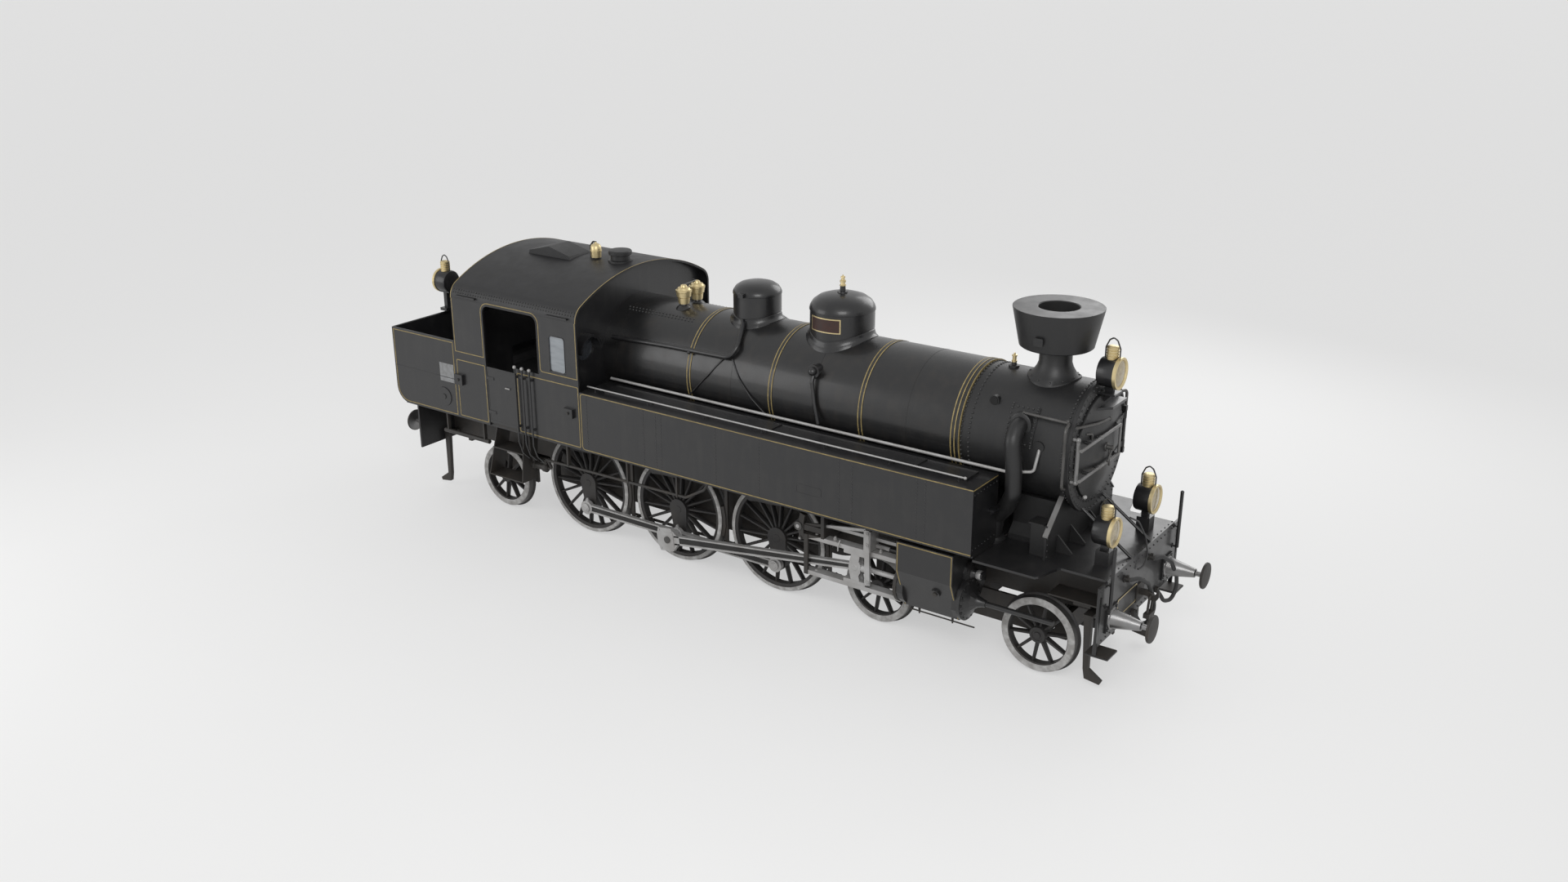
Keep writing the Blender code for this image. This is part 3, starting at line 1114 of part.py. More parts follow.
def brake_gear(side_name, side):
    """Blocks and hangers in front of the three coupled wheels, with the pull rod that joins them."""
    block0, block1 = mirrored(side, 0.735, 0.800)
    hanger0, hanger1 = mirrored(side, 0.750, 0.785)
    face = COUPLED_RADIUS + BRAKE_GAP
    reach = COUPLED_SPACING + BRAKE_ROD_OVERHANG
    middle = DRIVING_X + COUPLED_RADIUS
    rod_y = side * BRAKE_ROD_Y
    rod = [(middle - reach, rod_y, BRAKE_ROD_Z), (middle + reach, rod_y, BRAKE_ROD_Z)]
    shapes = [pipe(rod, 0.022, 6)]
    for _, x in COUPLED_WHEELSETS:
        block = arc(x, coupled_axle_z, face, -16, 16, 3)
        block += arc(x, coupled_axle_z, face + BRAKE_BLOCK_DEPTH, 16, -16, 3)
        hanger = x + face + BRAKE_BLOCK_DEPTH / 2
        pin_x = hanger + BRAKE_HANGER_DEPTH / 2
        low, high = mirrored(side, 0.600, 0.780), mirrored(side, frame_outer + SEAT, 0.780)
        shapes += [
            prism("y", block, block0, block1),
            box(hanger, hanger + BRAKE_HANGER_DEPTH, hanger0, hanger1,
                BRAKE_ROD_Z - 0.02, BRAKE_PIN_Z + 0.04),
            cylinder("y", (pin_x, 0, BRAKE_ROD_Z), *low, 0.025, 6),
            cylinder("y", (pin_x, 0, BRAKE_PIN_Z), *high, 0.030, 6),
        ]
    part(f"brake_gear_{side_name}", IRON, shapes)


CAB_TREADS = (
    # rear x, front x, z
    (-4.030, -3.340, 0.840),
    (-3.900, -3.290, 1.300),
)


def cab_steps(side_name, side):
    """Two treads between leaning straps below the cab doorway."""
    y0, y1 = mirrored(side, deck_half_width - STEP_WIDTH, deck_half_width)
    (low_back, low_front, low_z), (high_back, high_front, high_z) = CAB_TREADS
    top = platform_bottom - SEAT
    shapes = []
    for low_x, high_x in ((low_back, high_back), (low_front, high_front)):
        top_x = high_x + (high_x - low_x) * (top - high_z) / (high_z - low_z)
        strap = [(low_x - 0.008, low_z), (low_x + 0.008, low_z), (top_x + 0.008, top), (top_x - 0.008, top)]
        shapes.append(prism("y", strap, y0, y1))
    for back, front, z in CAB_TREADS:
        shapes.append(box(back - 0.006, front + 0.006, y0, y1, z, z + 0.020))
    part(f"cab_steps_{side_name}", IRON, shapes)


# Lamps

def headlamp(z, foot_z, radius):
    """A drum lamp facing forwards on its post, with a vented cap."""
    body = radius * 0.86
    drum = [(-0.22, body), (-0.03, body), (-0.029, radius), (0.0, radius), (0.001, radius * 0.85)]
    cap = [(0.10, 0.060), (0.26, 0.060), (0.261, 0.075), (0.285, 0.075), (0.30, 0.03)]
    return [
        turned("x", (0, 0, 0), drum, 16),
        turned("z", (-0.12, 0, 0), cap, 8),
        cylinder("z", (-0.12, 0, 0), foot_z - z + SEAT, -0.10, 0.035, 8),
    ]


def lamps():
    for side_name, side in SIDES:
        shapes = headlamp(HEADLAMP_Z, FRONT_DECK_TOP, HEADLAMP_RADIUS)
        foot = FRONT_DECK_TOP - HEADLAMP_Z
        shapes.append(box(-0.210, -0.040, -0.085, 0.085, foot + SEAT, foot + 0.180))
        part(f"headlamp_{side_name}", BLACK, shapes, origin=(HEADLAMP_X, side * HEADLAMP_Y, HEADLAMP_Z))
    shapes = headlamp(TOP_LAMP_Z, TOP_LAMP_Z - 0.240, TOP_LAMP_RADIUS)
    shelf = BOILER_Z + SMOKEBOX_FLANGE_RADIUS - TOP_LAMP_Z - 0.058
    shapes.append(box(SMOKEBOX_FRONT_X - TOP_LAMP_X - 0.12, -0.02, -0.10, 0.10, shelf - 0.090, shelf))
    seat = cylinder("x", (-TOP_LAMP_X, 0, BOILER_Z - TOP_LAMP_Z), SMOKEBOX_BACK_X, SMOKEBOX_FRONT_X + SEAT,
                    SMOKEBOX_FLANGE_RADIUS + SEAT, 32)
    part("headlamp_top", BLACK, shapes, [seat], (TOP_LAMP_X, 0, TOP_LAMP_Z))
    lamp = [cylinder("x", (0, 0, 0), -0.10, 0.08, 0.10, 16), cylinder("z", (0, 0, 0), 0.05, 0.19, 0.04, 8),
            box(-0.03, 0.03, -0.03, 0.03, BUNKER_TOP + SEAT - TAIL_LAMP_Z, -0.05)]
    part("tail_lamp", BLACK, lamp, origin=(BUNKER_BACK_X + BUNKER_WALL / 2, TAIL_LAMP_Y, TAIL_LAMP_Z))


# Assembly

main_frame()
platform()
front_deck()
for end_name, end in (("front", 1), ("rear", -1)):
    buffer_beam(f"{end_name}_beam", end)
    coupling(f"coupling_{end_name}", end)
    for side_name, side in SIDES:
        buffer(f"buffer_{end_name}_{side_name}", end, side)
boiler()
smokebox()
saddle()
smokebox_door()
chimney()
domes()
safety_valves()
cab()
coal_bunker()
coupled_wheelsets()
bogie()
trailing_truck()
for side_name, side in SIDES:
    tank(side_name, side)
    cab_side(side_name, side)
    cab_door(side_name, side)
    steam_pipe(side_name, side)
    cylinder_block(side_name, side)
    slide_bars(side_name, side)
    connecting_rod(side_name, side, crosshead(side_name, side))
    coupling_rod(side_name, side)
    brake_gear(side_name, side)
    cab_steps(side_name, side)
lamps()
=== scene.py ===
# A side-tank steam locomotive with six coupled wheels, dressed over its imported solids.
# Metres, +X towards the chimney, +Y to the left-hand side, +Z up.

import json
import bmesh
import bpy
from math import atan2, cos, degrees, hypot, pi, radians, sin, sqrt
from mathutils import Matrix, Vector


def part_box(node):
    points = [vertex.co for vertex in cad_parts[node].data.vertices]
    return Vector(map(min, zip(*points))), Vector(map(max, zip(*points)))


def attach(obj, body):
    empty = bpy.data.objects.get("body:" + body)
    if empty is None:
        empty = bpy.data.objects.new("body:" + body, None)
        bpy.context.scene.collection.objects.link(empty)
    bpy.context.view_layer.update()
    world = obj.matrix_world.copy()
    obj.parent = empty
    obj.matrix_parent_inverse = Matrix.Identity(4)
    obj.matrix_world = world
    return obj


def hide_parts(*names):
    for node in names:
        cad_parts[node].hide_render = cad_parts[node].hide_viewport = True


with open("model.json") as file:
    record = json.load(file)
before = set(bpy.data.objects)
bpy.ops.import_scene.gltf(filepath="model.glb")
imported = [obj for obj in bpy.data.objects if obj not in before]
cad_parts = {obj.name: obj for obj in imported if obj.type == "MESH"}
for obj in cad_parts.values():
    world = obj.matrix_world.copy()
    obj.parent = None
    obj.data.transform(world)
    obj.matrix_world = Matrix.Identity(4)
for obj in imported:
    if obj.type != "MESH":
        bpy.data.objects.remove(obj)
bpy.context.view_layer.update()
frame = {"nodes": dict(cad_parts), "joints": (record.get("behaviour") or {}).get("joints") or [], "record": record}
scene = bpy.context.scene
sides = (("right", -1), ("left", 1))


# Finishes

class Sum:  # a shader socket that takes part in Python sums
    def __init__(self, finish, socket):
        self.finish, self.socket = finish, socket

    def do(self, operation, *values):
        made = self.finish.node("ShaderNodeMath", dict(enumerate(values)), operation=operation)
        return Sum(self.finish, made.outputs[0])

    def __add__(self, other):
        return self.do("ADD", self, other)

    def __radd__(self, other):
        return self.do("ADD", other, self)

    def __sub__(self, other):
        return self.do("SUBTRACT", self, other)

    def __rsub__(self, other):
        return self.do("SUBTRACT", other, self)

    def __mul__(self, other):
        return self.do("MULTIPLY", self, other)

    def __rmul__(self, other):
        return self.do("MULTIPLY", other, self)

    def clamped(self):
        return self.do("MINIMUM", self.do("MAXIMUM", self, 0.0), 1.0)


def grow(tree, kind, values=None, **settings):  # one node: its settings, then its sockets' values or links
    made = tree.nodes.new(kind)
    for name, value in settings.items():
        setattr(made, name, value)
    for name, value in (values or {}).items():
        source = value.socket if isinstance(value, Sum) else value
        if isinstance(source, bpy.types.NodeSocket):
            tree.links.new(source, made.inputs[name])
        else:
            made.inputs[name].default_value = source
    return made


class Finish:  # one material and the few node recipes that every surface here uses
    def __init__(self, name, **plain):
        self.material = bpy.data.materials.new(name)
        self.material.use_nodes = True
        self.tree = self.material.node_tree
        self.shader = self.tree.nodes["Principled BSDF"]
        self.place = self.node("ShaderNodeTexCoord").outputs["Object"]
        for socket, value in plain.items():
            self.shader.inputs[socket.replace("_", " ")].default_value = value

    def node(self, kind, values=None, **settings):
        return grow(self.tree, kind, values, **settings)

    def noise(self, scale, detail=2.0, stretch=(1, 1, 1)):
        moved = self.node("ShaderNodeMapping", {"Vector": self.place, "Scale": stretch})
        made = self.node("ShaderNodeTexNoise", {"Vector": moved.outputs[0], "Scale": scale, "Detail": detail})
        return Sum(self, made.outputs[0])

    def height(self):  # how far up the engine a point stands
        return Sum(self, self.node("ShaderNodeSeparateXYZ", {0: self.place}).outputs[2])

    def blend(self, factor, low, high):
        return self.node("ShaderNodeMix", {0: factor, 6: (*low, 1), 7: (*high, 1)}, data_type="RGBA").outputs[2]

    def paint(self, socket, source):
        self.tree.links.new(source.socket if isinstance(source, Sum) else source, self.shader.inputs[socket])

    def bump(self, height, depth):
        made = self.node("ShaderNodeBump", {"Distance": depth, "Strength": 0.6, "Height": height})
        self.paint("Normal", made.outputs[0])


paintLook = {"grain": 5.0, "dust": 0.35, "roadDust": 0.30, "dustLine": 0.42, "orangePeel": 42.0}
metalLook = {"brushing": 60.0, "stain": 4.0}


def blackPaint(name, colour, worn, gloss, coat):
    finish = Finish(name, Coat_Weight=coat, Coat_Roughness=0.12)
    cloud = finish.noise(paintLook["grain"], 3.0)
    streak = finish.noise(9.0, 2.0, (1.0, 1.0, 0.12))
    dust = ((cloud + streak - 0.95) * 2.2).clamped() * paintLook["dust"]
    low = (1.0 - finish.height() * paintLook["dustLine"]).clamped()  # road dust gathers towards the rail
    finish.paint("Base Color", finish.blend((dust + low * paintLook["roadDust"]).clamped(), colour, worn))
    finish.paint("Roughness", (cloud * 0.22 + low * 0.15 + gloss).clamped())
    finish.bump(finish.noise(paintLook["orangePeel"], 2.0), 0.0012)
    return finish.material


def metal(name, colour, dark, rough, grain=(1, 1, 1), metallic=1.0):
    finish = Finish(name, Metallic=metallic)
    brushed = finish.noise(metalLook["brushing"], 2.0, grain)
    stain = finish.noise(metalLook["stain"], 3.0)
    finish.paint("Base Color", finish.blend((stain * 1.6 - 0.45).clamped(), dark, colour))
    finish.paint("Roughness", (brushed * 0.18 + stain * 0.10 + rough).clamped())
    finish.bump(brushed, 0.0006)
    return finish.material


def flatPaint(name, colour, worn, rough):
    finish = Finish(name)
    wear = finish.noise(14.0, 4.0)
    finish.paint("Base Color", finish.blend((wear * 2.4 - 0.9).clamped(), worn, colour))
    finish.paint("Roughness", wear * 0.2 + rough)
    return finish.material


def lensGlass(name, colour, pale):
    finish = Finish(name, Coat_Weight=0.6, Coat_Roughness=0.05)
    ripple = finish.noise(24.0, 1.0, (0.2, 1.0, 1.0))
    finish.paint("Base Color", finish.blend(ripple.clamped(), colour, pale))
    finish.paint("Roughness", ripple * 0.15 + 0.08)
    finish.bump(ripple, 0.002)
    return finish.material


alongX = (0.08, 1, 1)  # brushing that runs along the engine
black = blackPaint("blackPaint", (0.0105, 0.0105, 0.0115), (0.030, 0.028, 0.026), 0.24, 0.22)
roofBlack = blackPaint("roofBlack", (0.0115, 0.0115, 0.0125), (0.024, 0.023, 0.022), 0.40, 0.0)
soot = blackPaint("smokeboxBlack", (0.013, 0.013, 0.0135), (0.028, 0.027, 0.026), 0.34, 0.0)
boilerBlack = blackPaint("boilerCladding", (0.0115, 0.0115, 0.012), (0.034, 0.028, 0.023), 0.22, 0.20)
wheelBlack = blackPaint("wheelBlack", (0.016, 0.016, 0.018), (0.055, 0.048, 0.040), 0.36, 0.0)
iron = blackPaint("oilyIron", (0.022, 0.021, 0.020), (0.060, 0.048, 0.038), 0.38, 0.0)
# Rivet heads are painted about three times lighter than the black sheets they stand on: a painted highlight for the
# light their domes catch.
rivetHighlightPaint = blackPaint("rivetHeadsPaintedHighlight", (0.032, 0.032, 0.033), (0.064, 0.060, 0.055), 0.34, 0.0)
hoseBlack = blackPaint("hoseRubber", (0.030, 0.030, 0.031), (0.060, 0.058, 0.055), 0.45, 0.0)
# Inside faces of the smokebox, the chimney bore and openings: soot-black, painted darker still as the shade inside
# them.
sootAndPaintedShade = blackPaint("insideSootAndPaintedShade", (0.006, 0.006, 0.006), (0.016, 0.015, 0.014), 0.70, 0.0)
steel = metal("brightSteel", (0.56, 0.56, 0.56), (0.36, 0.35, 0.34), 0.34, alongX, 0.35)
bufferSteel = metal("bufferSteel", (0.33, 0.33, 0.335), (0.20, 0.195, 0.19), 0.24, alongX)
darkSteel = metal("rodWeb", (0.150, 0.147, 0.144), (0.075, 0.072, 0.069), 0.34, alongX, 0.6)
webSteel = metal("webSteel", (0.050, 0.049, 0.048), (0.026, 0.025, 0.024), 0.36, alongX, 0.6)
railSteel = metal("railSteel", (0.30, 0.30, 0.30), (0.17, 0.165, 0.16), 0.32, metallic=0.5)
brass = metal("brass", (0.81, 0.68, 0.39), (0.57, 0.46, 0.25), 0.24, metallic=0.8)
gold = flatPaint("goldLine", (0.42, 0.325, 0.135), (0.25, 0.19, 0.08), 0.42)
white = flatPaint("tyreWhite", (0.62, 0.62, 0.61), (0.33, 0.32, 0.31), 0.50)
plateField = flatPaint("plateField", (0.050, 0.016, 0.011), (0.030, 0.012, 0.009), 0.40)
pale = flatPaint("palePlate", (0.34, 0.35, 0.36), (0.22, 0.22, 0.22), 0.45)
lens = lensGlass("lampLens", (0.30, 0.22, 0.09), (0.62, 0.50, 0.27))
windowGlass = lensGlass("windowGlass", (0.22, 0.24, 0.26), (0.34, 0.37, 0.40))
# The porthole glass is painted almost black: painted shade for the dark cab seen through it.
portholeGlassPaintedShade = lensGlass("portholeGlassPaintedShade", (0.020, 0.022, 0.026), (0.045, 0.050, 0.058))
print("finishes ready")


# Shape tools

def placed(axis, along, a, b):  # a point at this place along an axis, with the other two in order
    return {"x": (along, a, b), "y": (a, along, b), "z": (a, b, along)}[axis]


def circle(radius, count, start=0.0):
    return [(radius * cos(start + 2 * pi * i / count), radius * sin(start + 2 * pi * i / count)) for i in range(count)]


class Shape:  # one piece under construction
    def __init__(self, name):
        self.name, self.builder, self.finishes = name, bmesh.new(), []

    def numbered(self, finish):
        if finish not in self.finishes:
            self.finishes.append(finish)
        return self.finishes.index(finish)

    def skin(self, rings, finish, closed=False, rounding=0.0):
        loops = [[self.builder.verts.new(point) for point in ring] for ring in rings]
        count, made = len(rings[0]), []
        several = isinstance(finish, list)
        for step, (low, high) in enumerate(zip(loops, loops[1:] + (loops[:1] if closed else []))):
            number = self.numbered(finish[step] if several else finish)
            for i in range(count):
                j = (i + 1) % count
                made.append(self.builder.faces.new((low[i], low[j], high[j], high[i])))
                made[-1].material_index = number
        if not closed:
            for ring, use in ((loops[0][::-1], 0), (loops[-1], -1)):
                made.append(self.builder.faces.new(ring))
                made[-1].material_index = self.numbered(finish[use] if several else finish)
        if rounding:
            edges = {edge for face in made for edge in face.edges}
            sharp = [edge for edge in edges if edge.calc_face_angle(0) > radians(30)]
            bmesh.ops.bevel(self.builder, geom=sharp, offset=rounding, segments=2, profile=0.5,
                            affect="EDGES", material=-1)

    def turned(self, axis, centre, profile, count, finish, closed=False):
        self.skin([[Vector(centre) + Vector(placed(axis, along, u, v)) for u, v in circle(max(radius, 0.0004), count)]
                   for along, radius in profile], finish, closed)

    def boss(self, side, x, z, profile, count, finish):  # turned about Y, its stops counted out from the centre line
        self.turned("y", (x, 0, z), [(side * y, radius) for y, radius in profile], count, finish)

    def prism(self, axis, outline, low, high, finish, rounding=0.0):
        self.skin([[placed(axis, along, a, b) for a, b in outline] for along in (low, high)], finish, False, rounding)

    def block(self, x0, x1, y0, y1, z0, z1, finish, rounding=0.0):
        self.prism("z", [(x0, y0), (x1, y0), (x1, y1), (x0, y1)], z0, z1, finish, rounding)

    def ball(self, centre, radius, finish, count=12):
        profile = [(-radius * cos(pi * i / 8), radius * sin(pi * i / 8)) for i in range(9)]
        self.turned("z", centre, profile, count, finish)

    def add(self, mesh, *finishes):
        before = len(self.builder.faces)
        self.builder.from_mesh(mesh)
        self.builder.faces.ensure_lookup_table()
        for face in self.builder.faces[before:]:
            face.material_index = self.numbered(finishes[min(face.material_index, len(finishes) - 1)])
        bpy.data.meshes.remove(mesh)

    def move(self, matrix):
        bmesh.ops.transform(self.builder, matrix=matrix, verts=self.builder.verts)

    def mesh(self):
        bmesh.ops.recalc_face_normals(self.builder, faces=self.builder.faces)
        mesh = bpy.data.meshes.new(self.name)
        self.builder.to_mesh(mesh)
        self.builder.free()
        return mesh

    def piece(self):
        mesh = self.mesh()
        for finish in self.finishes:
            mesh.materials.append(finish)
        mesh.shade_smooth()
        mesh.set_sharp_from_angle(angle=radians(32))
        piece = bpy.data.objects.new(self.name, mesh)
        scene.collection.objects.link(piece)
        return piece

    def done(self, body, slot, *nodes):
        piece = self.piece()
        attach(piece, body)
        if nodes:
            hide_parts(*nodes)


def arc(cx, cz, radius, start, end, steps):
    turns = [radians(start + (end - start) * i / steps) for i in range(steps + 1)]
    return [(cx + radius * cos(turn), cz + radius * sin(turn)) for turn in turns]


def span(side, low, high):
    return (low, high) if side > 0 else (-high, -low)


def rounded(x0, x1, z0, z1, radius, steps=4):
    corners = ((x1 - radius, z1 - radius, 0), (x0 + radius, z1 - radius, 90),
               (x0 + radius, z0 + radius, 180), (x1 - radius, z0 + radius, 270))
    return [point for cx, cz, turn in corners for point in arc(cx, cz, radius, turn, turn + 90, steps)]


def mirrored(half):  # a closed outline from its half on the +Y side
    return half + [(-y, z) for y, z in reversed(half)]


# Node trees

def nodeTree(name, inputs):  # an empty tree with named inputs, geometry in and geometry out
    tree = bpy.data.node_groups.new(name, "GeometryNodeTree")
    tree.interface.new_socket("Geometry", in_out="INPUT", socket_type="NodeSocketGeometry")
    tree.interface.new_socket("Geometry", in_out="OUTPUT", socket_type="NodeSocketGeometry")
    for label, (kind, value) in {**inputs, "Finish": ("Material", None)}.items():
        socket = tree.interface.new_socket(label, in_out="INPUT", socket_type="NodeSocket" + kind)
        if value is not None:
            socket.default_value = value
    return tree, grow(tree, "NodeGroupInput").outputs


def closeTree(tree, source, geometry):
    real = grow(tree, "GeometryNodeRealizeInstances", {0: geometry})
    painted = grow(tree, "GeometryNodeSetMaterial", {0: real.outputs[0], 2: source["Finish"]})
    grow(tree, "NodeGroupOutput", {0: painted.outputs[0]})
    return tree


def rivetTree():
    tree, source = nodeTree("rivetRow", {"Pitch": ("Float", 0.06), "Head": ("Float", 0.01)})
    line = grow(tree, "GeometryNodeMeshToCurve", {0: source[0]})
    stops = grow(tree, "GeometryNodeResampleCurve", {"Curve": line.outputs[0], "Length": source["Pitch"]},
                 mode="LENGTH")
    head = grow(tree, "GeometryNodeMeshIcoSphere", {"Radius": source["Head"], "Subdivisions": 2})
    rivets = grow(tree, "GeometryNodeInstanceOnPoints", {"Points": stops.outputs[0], "Instance": head.outputs["Mesh"]})
    return closeTree(tree, source, rivets.outputs[0])


def pipeTree():
    tree, source = nodeTree("pipeRun", {"Radius": ("Float", 0.02), "Bend": ("Float", 0.05), "Sides": ("Int", 12)})
    line = grow(tree, "GeometryNodeMeshToCurve", {0: source[0]})
    bent = grow(tree, "GeometryNodeFilletCurve",
                {"Curve": line.outputs[0], "Radius": source["Bend"], "Count": 5, "Limit Radius": True}, mode="POLY")
    ring = grow(tree, "GeometryNodeCurvePrimitiveCircle", {"Resolution": source["Sides"], "Radius": source["Radius"]})
    skin = grow(tree, "GeometryNodeCurveToMesh",
                {"Curve": bent.outputs[0], "Profile Curve": ring.outputs[0], "Fill Caps": True})
    return closeTree(tree, source, skin.outputs[0])


def spokeTree():  # oval tapered spokes round the Z axis, seated in the hub and the rim
    tree, value = nodeTree("spokes", {"Count": ("Int", 10), "Inner": ("Float", 0.1), "Outer": ("Float", 0.4),
                                      "Width": ("Float", 0.02), "Taper": ("Float", 0.8), "Flat": ("Float", 2.0)})

    def maths(operation, a, b):
        return grow(tree, "ShaderNodeMath", {0: a, 1: b}, operation=operation).outputs[0]
    wheel = grow(tree, "GeometryNodeMeshCircle", {"Vertices": value["Count"], "Radius": value["Inner"]})
    spoke = grow(tree, "GeometryNodeMeshCone",
                 {"Vertices": 10, "Side Segments": 2, "Radius Top": maths("MULTIPLY", value["Width"], value["Taper"]),
                  "Radius Bottom": value["Width"], "Depth": maths("SUBTRACT", value["Outer"], value["Inner"])})
    number = grow(tree, "GeometryNodeInputIndex").outputs[0]
    turn = maths("MULTIPLY", number, maths("DIVIDE", 2 * pi, value["Count"]))
    lean = grow(tree, "ShaderNodeCombineXYZ", {0: 0.0, 1: pi / 2, 2: turn})
    oval = grow(tree, "ShaderNodeCombineXYZ", {0: value["Flat"], 1: 1.0, 2: 1.0})
    spokes = grow(tree, "GeometryNodeInstanceOnPoints",
                  {"Points": wheel.outputs[0], "Instance": spoke.outputs[0], "Rotation": lean.outputs[0],
                   "Scale": oval.outputs[0]})
    return closeTree(tree, value, spokes.outputs[0])


trees = {"rivet": rivetTree(), "pipe": pipeTree(), "spoke": spokeTree()}


def grown(kind, lines, **inputs):  # a plain mesh from a tree that runs over poly-lines
    points, edges = [], []
    for line in lines:
        edges += [(len(points) + i, len(points) + i + 1) for i in range(len(line) - 1)]
        points += [tuple(point) for point in line]
    mesh = bpy.data.meshes.new("lines")
    mesh.from_pydata(points, edges, [])
    carrier = bpy.data.objects.new("lines", mesh)
    modifier = carrier.modifiers.new("grow", "NODES")
    modifier.node_group = trees[kind]
    names = {item.name: item.identifier for item in trees[kind].interface.items_tree if item.in_out == "INPUT"}
    for name, value in inputs.items():
        modifier[names[name]] = value
    scene.collection.objects.link(carrier)
    result = bpy.data.meshes.new_from_object(carrier.evaluated_get(bpy.context.evaluated_depsgraph_get()))
    carrier.modifiers.remove(modifier)
    bpy.data.objects.remove(carrier)
    bpy.data.meshes.remove(mesh)
    return result


def pipes(shape, lines, radius, finish, bend=0.05, count=12):
    shape.add(grown("pipe", lines, Radius=radius, Bend=bend, Sides=count, Finish=finish), finish)


# Rivets take the lighter head paint unless given another finish, so their heads carry that painted highlight.
def rivets(shape, lines, pitch, head, finish=rivetHighlightPaint):
    shape.add(grown("rivet", lines, Pitch=pitch, Head=head, Finish=finish), finish)


def strip(shape, axis, points, at, width, depth, finish, closed=False):  # a line of even width on a flat face
    rings, count = [], len(points)
    for i, point in enumerate(points):
        here = Vector(point)
        runs = []
        if i or closed:
            runs.append(here - Vector(points[i - 1]))
        if i < count - 1 or closed:
            runs.append(Vector(points[(i + 1) % count]) - here)
        normals = [Vector((-run.y, run.x)).normalized() for run in runs]
        mitre = (normals[0] + normals[-1]) / max(0.3, 1 + normals[0].dot(normals[-1])) * width / 2
        corners = ((here + mitre, at), (here + mitre, at + depth), (here - mitre, at + depth), (here - mitre, at))
        rings.append([placed(axis, along, *spot) for spot, along in corners])
    shape.skin(rings, finish, closed)


def sideStrip(shape, side, points, inner, outer, width, finish, closed=False):  # a line on a side sheet
    low, high = span(side, inner, outer)
    strip(shape, "y", points, low, width, high - low, finish, closed)


print("tools ready")


# The CAD sheets that keep their shape get their finish here

keptFinish = {"black_paint": black, "smokebox_black": soot, "bright_steel": steel, "wheel": wheelBlack, "brass": brass,
              "dark_iron": iron}
slotOf = {part["node"]: part["material_slot"] for part in frame["record"]["subparts"]}
for name, node in frame["nodes"].items():
    finish = roofBlack if name == "cab_roof" else keptFinish[slotOf[name]]
    node.data.materials.clear()
    node.data.materials.append(finish)
    if name.startswith("slide_bars"):  # the motion bracket and the link behind the bars are dark
        node.data.materials.append(iron)
        for face in node.data.polygons:
            face.material_index = int(face.center.x < 1.95)
print("solid sheets finished")


# Wheels

wheelLook = {"back": 0.680, "face": 0.815, "tyre": 0.060, "broadTyre": 0.094, "rim": 0.107, "steps": 96,
             "spokeWidth": 0.0235, "spokeTaper": 0.80, "spokeFlat": 2.3}
crankLook = {"throw": 0.360, "right": -84.0, "left": 6.0, "webHub": 0.155, "webPin": 0.108, "pinReach": 0.966,
             "drivingPinReach": 1.045, "weightReach": 0.690, "weightHalf": 42}
coupledLook = {"height": 0.817, "radius": 0.787, "hub": 0.150, "axle": 0.090, "spokes": 18,
               "stops": {"front_coupled": 0.912, "driving": -0.838, "rear_coupled": -2.588}}
carryingLook = {"height": 0.530, "radius": 0.500, "hub": 0.112, "axle": 0.072, "spokes": 10,
                "stops": {"leading": 4.8685, "second": 2.5515, "trailing": -4.360}}


def wheelDisc(shape, side, look, tyre, start):
    back, face, radius, hub = wheelLook["back"], wheelLook["face"], look["radius"], look["hub"]
    inside = radius - wheelLook["rim"]
    loop = [(back, radius + 0.012, wheelBlack), (back + 0.010, radius + 0.028, wheelBlack),
            (back + 0.020, radius + 0.030, wheelBlack), (back + 0.029, radius + 0.019, wheelBlack),
            (back + 0.037, radius + 0.003, darkSteel), (back + 0.080, radius, darkSteel),
            (face - 0.009, radius - 0.003, white), (face, radius - 0.012, white),
            (face, radius - tyre, wheelBlack), (face - 0.007, radius - tyre - 0.004, wheelBlack),
            (face - 0.009, inside + 0.006, wheelBlack), (face - 0.015, inside, wheelBlack),
            (back + 0.020, inside, wheelBlack), (back + 0.008, inside + 0.008, wheelBlack),
            (back, inside + 0.020, wheelBlack)]
    shape.turned("y", (0, 0, 0), [(side * y, r) for y, r, _ in loop], wheelLook["steps"], [f for _, _, f in loop], True)
    shape.boss(side, 0, 0, [
        (back + 0.004, hub * 0.96), (back + 0.015, hub), (face - 0.004, hub), (face + 0.009, hub * 0.93),
        (face + 0.012, hub * 0.66), (face + 0.004, hub * 0.62), (face + 0.004, hub * 0.40),
        (face + 0.016, hub * 0.36), (face + 0.018, hub * 0.10)], 32, wheelBlack)
    spokes = grown("spoke", [[(0, 0, 0), (0, 0, 0.01)]], Count=look["spokes"], Inner=hub * 0.92, Outer=inside + 0.012,
                   Width=wheelLook["spokeWidth"], Taper=wheelLook["spokeTaper"], Flat=wheelLook["spokeFlat"],
                   Finish=wheelBlack)
    spokes.transform(Matrix.Translation((0, side * (back + face - 0.010) / 2, 0))
                     @ Matrix.Rotation(radians(90), 4, "X") @ Matrix.Rotation(radians(start), 4, "Z"))
    shape.add(spokes, wheelBlack)


